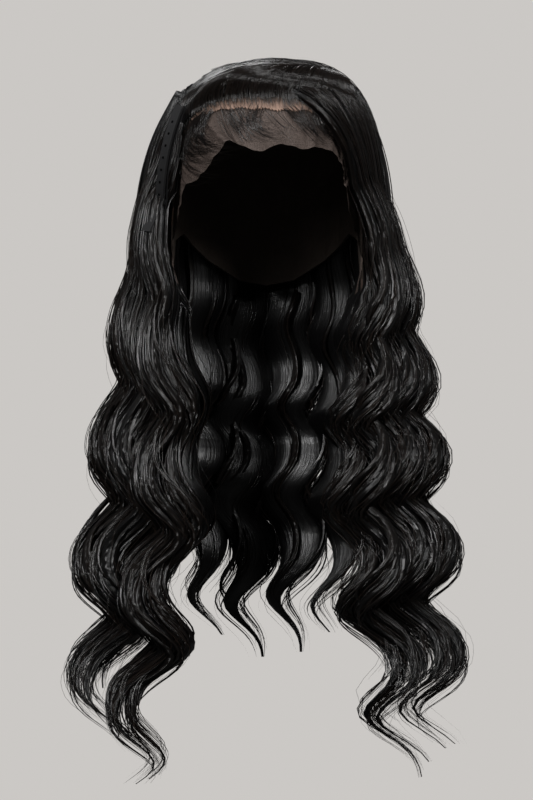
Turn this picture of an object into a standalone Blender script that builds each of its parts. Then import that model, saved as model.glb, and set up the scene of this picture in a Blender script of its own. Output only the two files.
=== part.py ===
"""Lace front wig: a hollow cap, its lace panel and hairline, long waved hair, and a flat clip.

Metres, +Z up. The wig faces -Y and the origin is the inside top of the cap, where the crown of a
head touches it. +X is the wearer's left.
"""

from math import acos, ceil, cos, pi, radians, sin, sqrt, tan

import bmesh
import bpy
from mathutils import Matrix, Vector

# The head form that the cap is made on.
HEAD_HALF_WIDTH = 0.0755
HEAD_HALF_DEPTH = 0.097
CROWN_HEIGHT = 0.105
HEAD_POWER = 3.0
SIDE_DROP = 0.12
NAPE_TUCK = 0.10
NAPE_REACH = 0.065
CROWN_CROWDING = 1.25

# Walls and gaps.
GAP = 0.0003
CAP_WALL = 0.002
LACE_WALL = 0.001
LACE_GAP = 0.0008
BAND_WALL = 0.0009
TAB_WALL = 0.0015
HAIR_START = CAP_WALL + GAP
WELD = 0.000004

# The hair that lies on the cap, before the locks.
BED_DEPTH = 0.0055
BED_INSET = 0.0015
CLEARANCE_FLOOR = -0.2
ROOM_MARGIN = 0.0010
CAP_STEP = 13.0
CAP_ROWS = 8

# Levels at which a lock's row gives its place.
EAR_LEVEL = -0.13
CHEST_LEVEL = -0.33
FREE_FROM = -0.165
FREE_BELOW = -0.25

# The parting, as a line seen from above, the plane behind the ears, and the level down to which
# the hair that is combed over the top is a piece of its own.
PART_X = -0.0555
PART_Y = -0.034
PART_SLANT = 0.15
EAR_PLANE_Y = 0.040
TOP_LEVEL = -0.066

# Rim of the cap: azimuth from the face, in degrees, and height.
RIM = [
    # azimuth, height
    (0, -0.0215),
    (25, -0.0225),
    (45, -0.0270),
    (56, -0.0350),
    (66, -0.0470),
    (71, -0.0610),
    (76, -0.0890),
    (80, -0.1200),
    (84, -0.1500),
    (88, -0.1640),
    (95, -0.1620),
    (104, -0.1330),
    (118, -0.1270),
    (140, -0.1480),
    (162, -0.1640),
    (180, -0.1680),
]

# Lace: where it leaves the rim and where its cut edge runs, in degrees round the face and height.
LACE = [
    # rim_azimuth, edge_azimuth, edge_height
    (-83.5, -66.0, -0.1690),
    (-82.5, -72.5, -0.1580),
    (-81.5, -76.0, -0.1440),
    (-80.0, -70.5, -0.1270),
    (-78.5, -64.0, -0.1110),
    (-76.5, -59.0, -0.0930),
    (-73.5, -47.0, -0.0865),
    (-69.5, -37.5, -0.0770),
    (-64.0, -29.5, -0.0640),
    (-53.0, -24.0, -0.0560),
    (-38.0, -16.0, -0.0600),
    (-22.0, -4.0, -0.0645),
    (-6.0, 9.0, -0.0590),
    (14.0, 22.0, -0.0630),
    (32.0, 33.0, -0.0610),
    (49.0, 44.5, -0.0655),
    (61.0, 51.5, -0.0750),
    (68.5, 53.5, -0.0870),
    (73.5, 56.0, -0.1010),
    (77.0, 63.0, -0.1200),
    (79.5, 71.0, -0.1340),
    (81.5, 78.5, -0.1500),
    (82.8, 76.0, -0.1660),
    (84.0, 65.0, -0.1780),
]

# Knotted hairline band: how deep it is below the rim at an azimuth of the rim.
BAND = [
    # rim_azimuth, depth in metres
    (-80.0, 0.0030),
    (-76.5, 0.0036),
    (-71.0, 0.0042),
    (-66.0, 0.0060),
    (-58.0, 0.0072),
    (-40.0, 0.0105),
    (-15.0, 0.0135),
    (5.0, 0.0145),
    (25.0, 0.0130),
    (45.0, 0.0095),
    (58.0, 0.0060),
    (64.0, 0.0026),
]

# Heights at which the waves of each side stand furthest out, and how far they swing at a height.
CRESTS = {
    -1: (-0.106, -0.200, -0.294, -0.387, -0.481, -0.575),
    1: (-0.097, -0.169, -0.241, -0.301, -0.377, -0.462, -0.552),
}
SWING = [
    # height, sideways swing
    (-0.12, 0.0),
    (-0.19, 0.0055),
    (-0.30, 0.0110),
    (-0.39, 0.0150),
    (-0.48, 0.0190),
    (-0.60, 0.0190),
]
SWING_DEPTH_SHARE = 0.45
CREST_BREADTH = 0.15

# Locks. root and over are places on the cap seen from above, lift is the height of over above the
# cap, ear and chest are places at those levels, tip is the end. half and deep are half its width
# and half its thickness, lag is how much lower its waves sit and gain how strong they are.
LOCKS = [
    # side, root, over, lift, ear, chest, tip, half, deep, lag, gain, facets
    (-1, (-0.0655, -0.034), (-0.0790, -0.044), 0.002, (-0.0885, -0.036), (-0.0675, -0.066),
     (-0.100, -0.060, -0.562), 0.0145, 0.0100, 0.020, 0.9, 6),
    (-1, (-0.0650, -0.028), (-0.0775, -0.036), 0.003, (-0.090, -0.048), (-0.0850, -0.074),
     (-0.110, -0.058, -0.566), 0.0165, 0.0105, 0.023, 1.0, 6),
    (-1, (-0.062, -0.020), (-0.0710, -0.020), 0.003, (-0.095, -0.026), (-0.1070, -0.050),
     (-0.128, -0.046, -0.520), 0.0170, 0.0120, 0.004, 1.0, 6),
    (-1, (-0.060, -0.008), (-0.0710, 0.000), 0.003, (-0.095, 0.002), (-0.1225, -0.004),
     (-0.137, -0.006, -0.532), 0.0175, 0.0130, 0.0, 1.0, 6),
    (-1, (-0.057, 0.010), (-0.0660, 0.026), 0.003, (-0.091, 0.028), (-0.1090, 0.032),
     (-0.115, 0.028, -0.492), 0.0170, 0.0120, 0.004, 0.9, 6),
    (-1, (-0.062, -0.006), (-0.0680, -0.008), 0.0, (-0.082, -0.004), (-0.0840, -0.022),
     (-0.104, -0.018, -0.500), 0.0230, 0.0180, 0.010, 0.8, 5),
    (-1, (-0.058, 0.030), (-0.0640, 0.034), 0.0, (-0.080, 0.034), (-0.0640, 0.024),
     (-0.096, 0.018, -0.452), 0.0220, 0.0170, 0.010, 0.7, 5),
    (1, (-0.050, -0.048), (0.0120, -0.066), 0.0, (0.0885, -0.036), (0.0665, -0.066),
     (0.106, -0.060, -0.560), 0.0145, 0.0095, 0.004, 0.9, 6),
    (1, (-0.051, -0.038), (0.0140, -0.046), -0.003, (0.0900, -0.048), (0.0860, -0.074),
     (0.112, -0.062, -0.548), 0.0180, 0.0105, 0.006, 1.0, 6),
    (1, (-0.050, -0.024), (0.0160, -0.020), -0.004, (0.0950, -0.026), (0.1070, -0.052),
     (0.128, -0.046, -0.538), 0.0190, 0.0115, 0.0, 1.0, 6),
    (1, (-0.048, -0.006), (0.0180, 0.006), -0.004, (0.0960, 0.002), (0.1260, -0.004),
     (0.138, -0.004, -0.536), 0.0190, 0.0120, 0.0, 1.0, 6),
    (1, (-0.046, 0.012), (0.0200, 0.030), -0.004, (0.0930, 0.028), (0.1150, 0.032),
     (0.122, 0.028, -0.490), 0.0180, 0.0120, 0.004, 0.9, 6),
    (1, (0.0560, -0.010), (0.0660, -0.012), 0.0, (0.0820, -0.004), (0.0850, -0.022),
     (0.112, -0.018, -0.500), 0.0240, 0.0190, 0.006, 0.8, 5),
    (1, (0.0540, 0.030), (0.0620, 0.034), 0.0, (0.0800, 0.034), (0.0660, 0.024),
     (0.098, 0.018, -0.455), 0.0220, 0.0170, 0.006, 0.7, 5),
    (1, (-0.044, 0.034), (-0.0560, 0.066), 0.0020, (-0.0760, 0.064), (-0.0900, 0.056),
     (-0.086, 0.048, -0.470), 0.0230, 0.0120, 0.006, 0.8, 6),
    (1, (-0.034, 0.036), (-0.0360, 0.080), 0.0020, (-0.0480, 0.094), (-0.0560, 0.078),
     (-0.046, 0.062, -0.450), 0.0250, 0.0130, 0.0, 0.7, 6),
    (1, (-0.014, 0.038), (-0.0140, 0.086), 0.0020, (-0.0170, 0.106), (-0.0190, 0.086),
     (-0.016, 0.070, -0.468), 0.0250, 0.0135, 0.006, 0.7, 6),
    (1, (0.0060, 0.038), (0.0120, 0.086), 0.0020, (0.0160, 0.106), (0.0190, 0.086),
     (0.015, 0.070, -0.464), 0.0250, 0.0135, 0.0, 0.7, 6),
    (1, (0.0220, 0.036), (0.0380, 0.080), 0.0020, (0.0480, 0.094), (0.0560, 0.078),
     (0.046, 0.062, -0.448), 0.0250, 0.0130, 0.006, 0.7, 6),
    (1, (0.0340, 0.034), (0.0560, 0.066), 0.0020, (0.0770, 0.064), (0.0910, 0.056),
     (0.086, 0.048, -0.470), 0.0230, 0.0120, 0.006, 0.8, 6),
]
SECTIONS = (range(0, 7), range(7, 14), range(14, 20))
LOCK_SECTIONS = 24
FALL_CROWDING = 0.8
TIP_SHARE = 0.16
ROOT_SHARE = 0.5
CROWN_SHARE = 0.36
BURIED_SHARE = 0.62

# Flat clip at the right temple. Its hinge is its origin, and it stands up the side of the head.
CLIP_HINGE = (-0.0835, -0.0540, -0.1030)
CLIP_TIP = (-0.0680, -0.0540, -0.0270)
CLIP_FACING = (-0.64, -0.77, 0.0)
CLIP_WIDTH = 0.0088
CLIP_WALL = 0.0012
CLIP_BOW = 0.0062
CLIP_SPLIT = 0.0014
LEVER_LENGTH = 0.026
LEVER_FLARE = 21.0
HOLE_COUNT = 7
HOLE_RADIUS = 0.0012
RIB_WIDTH = 0.0014
RIB_HEIGHT = 0.0009
PIN_RADIUS = 0.0009
KNUCKLE_RADIUS = 0.0021
KNUCKLE_LENGTH = 0.0034
SLOT_MARGIN = 0.0012


def fresh_scene():
    """Remove what the scene holds."""
    for item in list(bpy.data.objects):
        bpy.data.objects.remove(item, do_unlink=True)


def group(name):
    """Return a new collection in the scene."""
    made = bpy.data.collections.new(name)
    bpy.context.scene.collection.children.link(made)
    return made


def finish_of(name, colour, roughness, metallic=0.0):
    """Return a plain material."""
    made = bpy.data.materials.new(name)
    made.use_nodes = True
    shader = made.node_tree.nodes["Principled BSDF"]
    shader.inputs["Base Color"].default_value = (*colour, 1.0)
    shader.inputs["Roughness"].default_value = roughness
    shader.inputs["Metallic"].default_value = metallic
    return made


def between(rows, key, column=1):
    """Return a column of a table at key, on straight lines between its rows."""
    if key <= rows[0][0]:
        return rows[0][column]
    for low, high in zip(rows, rows[1:]):
        if key <= high[0]:
            share = (key - low[0]) / (high[0] - low[0])
            return low[column] + share * (high[column] - low[column])
    return rows[-1][column]


def smooth(values, place):
    """Return a smooth curve through values at place, counted in rows."""
    last = len(values) - 1
    index = min(int(place), last - 1)
    share = place - index
    before = values[max(index - 1, 0)]
    start = values[index]
    end = values[index + 1]
    after = values[min(index + 2, last)]
    pull = 0.5 * (end - before)
    push = 0.5 * (after - start)
    square = share * share
    cube = square * share
    return (
        start * (2 * cube - 3 * square + 1)
        + pull * (cube - 2 * square + share)
        + end * (3 * square - 2 * cube)
        + push * (cube - square)
    )


def ramp(low, high, value):
    """Return 0 below low, 1 above high and a smooth rise between."""
    share = min(max((value - low) / (high - low), 0.0), 1.0)
    return share * share * (3 - 2 * share)


def drop_at(height):
    """Return how far down the head a height is: 0 at the crown, 1 at its widest."""
    if height < -CROWN_HEIGHT:
        return 1.0 + (-CROWN_HEIGHT - height) / SIDE_DROP
    level = max((height + CROWN_HEIGHT) / CROWN_HEIGHT, 0.0)
    return acos(min(level, 1.0) ** (HEAD_POWER / 2)) / (pi / 2)


def on_head(azimuth, drop, proud):
    """Return a point on the head form, or proud of it, at an azimuth in degrees."""
    angle = radians(azimuth)
    if drop <= 1.0:
        reach = sin(drop * pi / 2) ** (2 / HEAD_POWER)
        level = cos(drop * pi / 2) ** (2 / HEAD_POWER)
        height = -CROWN_HEIGHT + (CROWN_HEIGHT + proud) * level
    else:
        height = -CROWN_HEIGHT - (drop - 1.0) * SIDE_DROP
        tuck = NAPE_TUCK * ((drop - 1.0) * SIDE_DROP / NAPE_REACH) ** 2
        reach = 1.0 - tuck * max(-cos(angle), 0.0)
    x = (HEAD_HALF_WIDTH + proud) * reach * sin(angle)
    y = -(HEAD_HALF_DEPTH + proud) * reach * cos(angle)
    return Vector((x, y, height))


def crown_point(x, y, proud):
    """Return the point of the head form, or proud of it, that is above x and y."""
    spread = sqrt((x / HEAD_HALF_WIDTH) ** 2 + (y / HEAD_HALF_DEPTH) ** 2)
    level = (1.0 - min(spread, 0.999) ** HEAD_POWER) ** (1 / HEAD_POWER)
    return Vector((x, y, -CROWN_HEIGHT + (CROWN_HEIGHT + proud) * level))


def outward(point):
    """Return the direction that points away from the head at a point."""
    width = HEAD_HALF_WIDTH
    depth = HEAD_HALF_DEPTH
    away = Vector((point.x / width**2, point.y / depth**2, 0.0))
    if point.z > -CROWN_HEIGHT:
        away.z = (point.z + CROWN_HEIGHT) / CROWN_HEIGHT**2
    return away.normalized()


def off_head(point, proud):
    """Return the point, moved out of the head form where it is nearer than proud."""
    width = HEAD_HALF_WIDTH + proud
    depth = HEAD_HALF_DEPTH + proud
    flat = sqrt((point.x / width) ** 2 + (point.y / depth) ** 2)
    if point.z > -CROWN_HEIGHT:
        level = (point.z + CROWN_HEIGHT) / (CROWN_HEIGHT + proud)
        size = (flat**HEAD_POWER + level**HEAD_POWER) ** (1 / HEAD_POWER)
        if size >= 1.0:
            return point.copy()
        centre = Vector((0.0, 0.0, -CROWN_HEIGHT))
        return centre + (point - centre) / size
    least = ramp(FREE_BELOW, FREE_FROM, point.z)
    if flat >= least:
        return point.copy()
    grow = least / flat
    return Vector((point.x * grow, point.y * grow, point.z))


def rim_drop(azimuth):
    """Return how far down the cap reaches at an azimuth."""
    return drop_at(between(RIM, min(abs(azimuth), 180.0)))


def sheet(name, columns, rows, place, wrap=False):
    """Return an object whose grid of points is laid out by place(across, along), both 0 to 1."""
    mesh = bpy.data.meshes.new(name)
    grid = bmesh.new()
    bmesh.ops.create_grid(grid, x_segments=columns, y_segments=rows, size=0.5)
    for point in grid.verts:
        point.co = place(point.co.x + 0.5, point.co.y + 0.5)
    bmesh.ops.remove_doubles(grid, verts=grid.verts, dist=0.000001)
    if wrap:
        open_edges = [edge for edge in grid.edges if edge.is_boundary]
        bmesh.ops.holes_fill(grid, edges=open_edges, sides=0)
    bmesh.ops.recalc_face_normals(grid, faces=grid.faces)
    grid.to_mesh(mesh)
    grid.free()
    made = bpy.data.objects.new(name, mesh)
    parts.objects.link(made)
    return made


def point_out(made, centre):
    """Turn an open sheet over where it faces the centre."""
    mesh = made.data
    total = sum((face.center - centre).dot(face.normal) * face.area for face in mesh.polygons)
    if total < 0:
        mesh.flip_normals()


def wall(made, thickness):
    """Give an outward-facing sheet its thickness on its outer side."""
    step = made.modifiers.new("wall", "SOLIDIFY")
    step.thickness = thickness
    step.offset = 1.0
    step.use_even_offset = True
    step.use_quality_normals = True
    return made


def settle(made):
    """Replace an object's mesh by its evaluated one."""
    bpy.context.view_layer.update()
    graph = bpy.context.evaluated_depsgraph_get()
    mesh = bpy.data.meshes.new_from_object(made.evaluated_get(graph))
    made.modifiers.clear()
    old = made.data
    made.data = mesh
    bpy.data.meshes.remove(old)
    return made


def cut(made, tool, how="DIFFERENCE"):
    """Add a Boolean with a tool, which becomes a cutter."""
    step = made.modifiers.new(how.lower(), "BOOLEAN")
    step.operation = how
    step.object = tool
    step.solver = "EXACT"
    step.use_self = how == "UNION"
    for holder in list(tool.users_collection):
        holder.objects.unlink(tool)
    cutters.objects.link(tool)
    tool.hide_render = True
    tool.display_type = "WIRE"
    return step


def largest_body(made):
    """Keep the largest body of an object, counting faces joined along an edge."""
    shell = bmesh.new()
    shell.from_mesh(made.data)
    bmesh.ops.remove_doubles(shell, verts=shell.verts, dist=WELD)
    left = set(shell.faces)
    best = set()
    while left:
        body = set()
        front = [left.pop()]
        while front:
            face = front.pop()
            body.add(face)
            for edge in face.edges:
                if not edge.is_manifold:
                    continue
                for other in edge.link_faces:
                    if other in left:
                        left.discard(other)
                        front.append(other)
        if len(body) > len(best):
            best = body
    spare = [face for face in shell.faces if face not in best]
    bmesh.ops.delete(shell, geom=spare, context="FACES")
    shell.to_mesh(made.data)
    shell.free()


def round_bar(name, radius, low, high, facets):
    """Return a cylinder along X."""
    bpy.ops.mesh.primitive_cylinder_add(vertices=facets, radius=radius, depth=1.0)
    made = bpy.context.active_object
    made.name = name
    for point in made.data.vertices:
        share = point.co.z + 0.5
        point.co = (low + share * (high - low), point.co.x, point.co.y)
    return made


def smooth_faces(made, angle=40.0):
    """Shade an object smooth with sharp edges past an angle."""
    made.data.shade_smooth()
    made.data.set_sharp_from_angle(angle=radians(angle))


def azimuths(widest):
    """Return the azimuths of the rim's rows right round the head, at most widest degrees apart."""
    half = [0.0]
    for low, high in zip(RIM, RIM[1:]):
        steps = ceil((high[0] - low[0]) / widest)
        for step in range(steps):
            half.append(low[0] + (high[0] - low[0]) * (step + 1) / steps)
    return [-mark for mark in reversed(half)] + half[1:]


def dome(name, proud, widest, rows, inset=0.0):
    """Return the sheet of the cap, from the crown to its rim, proud of the head form."""
    spread = azimuths(widest)
    columns = len(spread) - 1

    def place(across, along):
        azimuth = spread[round(across * columns)]
        reach = rim_drop(azimuth) - inset / CROWN_HEIGHT
        return on_head(azimuth, reach * along**CROWN_CROWDING, proud)

    made = sheet(name, columns, rows, place)
    point_out(made, Vector((0.0, 0.0, -CROWN_HEIGHT)))
    return made


def lace_point(rows, station, along, proud):
    """Return a point of the lace: station in rows, along from the rim to the cut edge."""
    rim_azimuth = smooth([row[0] for row in rows], station)
    edge_azimuth = smooth([row[1] for row in rows], station)
    edge_drop = smooth([drop_at(row[2]) for row in rows], station)
    rim = on_head(rim_azimuth, rim_drop(rim_azimuth), proud)
    edge = on_head(edge_azimuth, edge_drop, proud)
    start = LACE_GAP / max((edge - rim).length, 0.002)
    share = start + (1.0 - start) * along
    azimuth = rim_azimuth + share * (edge_azimuth - rim_azimuth)
    drop = rim_drop(rim_azimuth) + share * (edge_drop - rim_drop(rim_azimuth))
    return on_head(azimuth, drop, proud)


def make_lace():
    """Return the lace panel with its scalloped edge."""
    stations = 36

    def place(across, along):
        return lace_point(LACE, across * (len(LACE) - 1), along, 0.0002)

    made = sheet("lace_front", stations, 3, place)
    point_out(made, Vector((0.0, 0.0, -CROWN_HEIGHT)))
    wall(made, LACE_WALL).modifiers["wall"].use_even_offset = False
    return made


def make_band():
    """Return the knotted band that lies on the lace along the hairline."""
    first = BAND[0][0]
    last = BAND[-1][0]
    proud = 0.0002 + LACE_WALL + GAP

    def place(across, along):
        azimuth = first + across * (last - first)
        rim = on_head(azimuth, rim_drop(azimuth), proud)
        row = 0
        while row < len(LACE) - 2 and LACE[row + 1][0] < azimuth:
            row += 1
        share = (azimuth - LACE[row][0]) / (LACE[row + 1][0] - LACE[row][0])
        edge_azimuth = LACE[row][1] + share * (LACE[row + 1][1] - LACE[row][1])
        drops = (drop_at(LACE[row][2]), drop_at(LACE[row + 1][2]))
        edge_drop = drops[0] + share * (drops[1] - drops[0])
        edge = on_head(edge_azimuth, edge_drop, proud)
        whole = (edge - rim).length
        depth = 0.0018 + between(BAND, azimuth) * along
        portion = depth / whole
        drop = rim_drop(azimuth) + portion * (edge_drop - rim_drop(azimuth))
        return on_head(azimuth + portion * (edge_azimuth - azimuth), drop, proud)

    made = sheet("hairline_band", 30, 1, place)
    point_out(made, Vector((0.0, 0.0, -CROWN_HEIGHT)))
    wall(made, BAND_WALL)
    return made


def make_tab(name, side):
    """Return an ear tab, a small rounded tongue below the rim of the cap."""
    middle = 89.0 * side
    top = between(RIM, 89.0) - GAP
    height = 0.030
    half_angle = 3.4

    def place(across, along):
        narrow = 1.0 - 0.22 * along**3
        azimuth = middle + (across - 0.5) * 2 * half_angle * narrow
        skew = between(RIM, abs(azimuth)) - between(RIM, 89.0)
        level = top - height * along + min(skew, 0.0) * (1 - along)
        return on_head(azimuth, drop_at(level), 0.0002)

    made = sheet(name, 3, 4, place)
    point_out(made, Vector((0.0, 0.0, -CROWN_HEIGHT)))
    wall(made, TAB_WALL)
    return made


def lock_path(root, over, lift, ear, chest, tip, deep):
    """Return points along a lock's middle, over the cap and down to its tip."""
    stops = [
        crown_point(*root, HAIR_START),
        crown_point(*over, HAIR_START + lift),
        Vector((*ear, EAR_LEVEL)),
        Vector((*chest, CHEST_LEVEL)),
        Vector(tip),
    ]
    fine = 160
    line = []
    for step in range(fine + 1):
        place = step / fine * (len(stops) - 1)
        point = smooth(stops, place)
        grown = CROWN_SHARE + (1 - CROWN_SHARE) * ramp(0.9, 2.0, place)
        line.append(off_head(point, HAIR_START + BURIED_SHARE * deep * grown))
    lengths = [0.0]
    for before, after in zip(line, line[1:]):
        lengths.append(lengths[-1] + (after - before).length)
    return line, lengths


def swing(side, height, lag, gain):
    """Return how far the wave moves a lock sideways and forward at a height."""
    marks = [(-mark, index) for index, mark in enumerate(CRESTS[side])]
    turns = between(marks, -(height + lag))
    size = gain * between([(-row[0], row[1]) for row in SWING], -height)
    across = side * size * (cos(2 * pi * turns) + CREST_BREADTH * (1 - cos(4 * pi * turns)))
    depth = SWING_DEPTH_SHARE * size * sin(2 * pi * turns)
    return across, depth


def make_lock(name, row):
    """Return one closed lock of hair."""
    side, root, over, lift, ear, chest, tip, half, deep, lag, gain, facets = row
    line, lengths = lock_path(root, over, lift, ear, chest, tip, deep)
    table = [(lengths[i], i) for i in range(len(line))]
    sections = []
    for step in range(LOCK_SECTIONS + 1):
        share = (step / LOCK_SECTIONS) ** FALL_CROWDING
        place = between(table, lengths[-1] * share)
        index = min(int(place), len(line) - 2)
        part = place - index
        middle = line[index].lerp(line[index + 1], part)
        ahead = line[min(index + 3, len(line) - 1)] - line[max(index - 2, 0)]
        along = ahead.normalized()
        flat = along.cross(outward(middle)).normalized()
        up = flat.cross(along).normalized()
        size = ROOT_SHARE + (1 - ROOT_SHARE) * ramp(0.0, 0.22, share)
        size *= TIP_SHARE + (1 - TIP_SHARE) * (1 - ramp(0.70, 1.0, share))
        across, depth = swing(side, middle.z, lag, gain)
        middle = middle + Vector((across, -depth, 0.0))
        sections.append((middle, flat * half * size, up * deep * size))

    def place(across, along):
        middle, flat, up = sections[round(along * LOCK_SECTIONS)]
        angle = 2 * pi * across
        return middle + flat * cos(angle) + up * sin(angle)

    return sheet(name, facets, LOCK_SECTIONS, place, wrap=True)


def make_hair():
    """Return all the hair as one body: the bed on the cap and every lock, joined."""
    hair = dome("hair", HAIR_START, 24.0, 7, BED_INSET)
    wall(hair, BED_DEPTH)
    settle(hair)
    for section in SECTIONS:
        bundle = None
        for index in section:
            lock = make_lock(f"lock_{index + 1}", LOCKS[index])
            if bundle is None:
                bundle = lock
                continue
            cut(bundle, lock, "UNION")
            settle(bundle)
        cut(hair, bundle, "UNION")
        settle(hair)

    spread = azimuths(CAP_STEP)
    columns = len(spread) - 1
    deepest = drop_at(CLEARANCE_FLOOR)

    def place(across, along):
        azimuth = spread[round(across * columns)]
        return on_head(azimuth, deepest * along**CROWN_CROWDING, HAIR_START + ROOM_MARGIN)

    hollow = sheet("head_room", columns, 12, place, wrap=True)
    cut(hair, hollow)
    settle(hair)
    return hair


def slice_off(made, point, normal):
    """Cut away what lies beyond a plane, on the side its normal points to, and close the cut."""
    shell = bmesh.new()
    shell.from_mesh(made.data)
    everything = [*shell.verts, *shell.edges, *shell.faces]
    cut_through = bmesh.ops.bisect_plane(
        shell, geom=everything, dist=0.0000001, plane_co=point, plane_no=normal, clear_outer=True
    )
    edges = [part for part in cut_through["geom_cut"] if isinstance(part, bmesh.types.BMEdge)]
    edges = [edge for edge in edges if edge.is_boundary]
    bmesh.ops.triangle_fill(shell, edges=edges, use_beauty=True, use_dissolve=False)
    bmesh.ops.recalc_face_normals(shell, faces=shell.faces)
    shell.to_mesh(made.data)
    shell.free()


def share_of_hair(whole, name, planes, clip_room):
    """Return the piece of the hair between planes, clear of the clip."""
    made = whole.copy()
    made.data = whole.data.copy()
    made.name = name
    parts.objects.link(made)
    for point, normal in planes:
        slice_off(made, point, normal)
    if clip_room:
        cut(made, clip_room)
    settle(made)
    largest_body(made)
    smooth_faces(made, 60.0)
    return made


def parting_plane(side):
    """Return the plane through the parting, half a gap to one side, facing away from that side."""
    across = Vector((1.0, -PART_SLANT, 0.0)).normalized()
    point = Vector((PART_X, PART_Y, 0.0)) + across * side * GAP / 2
    return point, -side * across


def clip_frame():
    """Return the clip's placing: X along its pin, Z from hinge to tip, -Y away from the head."""
    hinge = Vector(CLIP_HINGE)
    rise = (Vector(CLIP_TIP) - hinge).normalized()
    inward = -Vector(CLIP_FACING)
    inward = (inward - inward.dot(rise) * rise).normalized()
    pin = inward.cross(rise)
    placing = Matrix((pin, inward, rise)).transposed().to_4x4()
    placing.translation = hinge
    return placing


def jaw_line(height, side, flare):
    """Return how far in or out of the pin a jaw stands at a height on the clip."""
    length = (Vector(CLIP_TIP) - Vector(CLIP_HINGE)).length
    stand = side * (CLIP_SPLIT / 2 + 0.0005 * (1 - ramp(0.0, 0.02, height)))
    if height >= 0:
        share = height / length
        return stand - 4 * CLIP_BOW * share * (1 - share)
    return stand + side * tan(radians(flare)) * -height


def strip(name, low, high, steps, side, flare, half, proud, thick):
    """Return a curved strip of the clip, thick outward from proud."""

    def place(across, along):
        height = low + (high - low) * along
        level = jaw_line(height, side, flare) + side * proud
        return Vector(((across * 2 - 1) * half, level, height))

    made = sheet(name, 2, steps, place)
    faces = sum(face.normal.y * face.area for face in made.data.polygons)
    if faces * side < 0:
        made.data.flip_normals()
    step = made.modifiers.new("wall", "SOLIDIFY")
    step.thickness = thick
    step.offset = 1.0
    settle(made)
    return made


def make_jaw(name, side, flare, lever):
    """Return a jaw of the clip: side -1 is the outer one, which has the holes and the rib."""
    length = (Vector(CLIP_TIP) - Vector(CLIP_HINGE)).length
    made = strip(name, -lever, length, 12, side, flare, CLIP_WIDTH / 2, 0.0, CLIP_WALL)
    reach = CLIP_WIDTH / 2
    middle = KNUCKLE_LENGTH / 2
    edge = reach - 0.0001
    outer = side < 0
    spans = [(-middle, middle)] if outer else [(-edge, -middle - GAP), (middle + GAP, edge)]
    for index, (low, high) in enumerate(spans):
        knuckle = round_bar(f"{name}_knuckle_{index}", KNUCKLE_RADIUS, low, high, 12)
        cut(made, knuckle, "UNION")
    spare = [(-middle - GAP, middle + GAP)]
    if outer:
        spare = [(-edge - 0.001, -middle - GAP), (middle + GAP, edge + 0.001)]
    for index, (low, high) in enumerate(spare):
        relief = round_bar(f"{name}_relief_{index}", KNUCKLE_RADIUS + GAP, low, high, 12)
        cut(made, relief)
    if outer:
        rib_low = reach - RIB_WIDTH
        rib = strip(f"{name}_rib", 0.004, length - 0.002, 10, side, flare, RIB_WIDTH / 2,
                    CLIP_WALL - 0.0003, RIB_HEIGHT + 0.0003)
        for point in rib.data.vertices:
            point.co.x += rib_low + RIB_WIDTH / 2 - 0.0002
        cut(made, rib, "UNION")
        for index in range(HOLE_COUNT):
            height = length * (0.06 + 0.76 * index / (HOLE_COUNT - 1))
            level = jaw_line(height, side, flare)
            bpy.ops.mesh.primitive_cylinder_add(vertices=8, radius=HOLE_RADIUS, depth=0.012)
            hole = bpy.context.active_object
            hole.name = f"{name}_hole_{index}"
            hole.data.transform(Matrix.Rotation(pi / 2, 4, "X"))
            hole.data.transform(Matrix.Translation((-0.0008, level, height)))
            cut(made, hole)
    bore = round_bar(f"{name}_bore", PIN_RADIUS + GAP, -0.01, 0.01, 12)
    cut(made, bore)
    settle(made)
    largest_body(made)
    return made


def make_clip():
    """Return the outer jaw, the inner jaw and the pin, standing at the right temple."""
    placing = clip_frame()
    outer = make_jaw("clip_jaw_outer", -1, LEVER_FLARE, LEVER_LENGTH)
    inner = make_jaw("clip_jaw_inner", 1, 0.0, LEVER_LENGTH * 0.6)
    half = CLIP_WIDTH / 2 + 0.0004
    pin = round_bar("clip_pin", PIN_RADIUS, -half, half, 12)
    for holder in list(pin.users_collection):
        holder.objects.unlink(pin)
    parts.objects.link(pin)
    for made in (outer, inner, pin):
        made.matrix_world = placing
    return outer, inner, pin


def make_clip_room():
    """Return the room that the clip takes up in the hair."""
    length = (Vector(CLIP_TIP) - Vector(CLIP_HINGE)).length
    half = CLIP_WIDTH / 2 + SLOT_MARGIN
    inner = CLIP_SPLIT / 2 + CLIP_WALL + 0.0008
    outer = 0.020

    def place(across, along):
        height = -LEVER_LENGTH - 0.006 + (length + LEVER_LENGTH + 0.009) * along
        share = min(max(height / length, 0.0), 1.0)
        bow = -4 * CLIP_BOW * share * (1 - share)
        knuckle = 0.0012 * (1 - ramp(0.004, 0.009, abs(height)))
        corner = round(across * 4) % 4
        wide = half if corner in (0, 3) else -half
        deep = bow + inner + knuckle if corner in (0, 1) else bow - outer
        return Vector((wide, deep, height))

    made = sheet("clip_room", 4, 12, place, wrap=True)
    made.matrix_world = clip_frame()
    return made


fresh_scene()
parts = group("lace_front_wig")
cutters = group("cutters")
bpy.context.view_layer.active_layer_collection = bpy.context.view_layer.layer_collection.children[
    "cutters"
]

hair_black = finish_of("hair_black", (0.006, 0.006, 0.007), 0.32)
net_brown = finish_of("net_brown", (0.030, 0.022, 0.018), 0.8)
lace_brown = finish_of("lace_brown", (0.075, 0.052, 0.045), 0.8)
knot_peach = finish_of("knot_peach", (0.42, 0.25, 0.17), 0.75)
clip_black = finish_of("clip_black", (0.012, 0.012, 0.013), 0.55)

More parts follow.
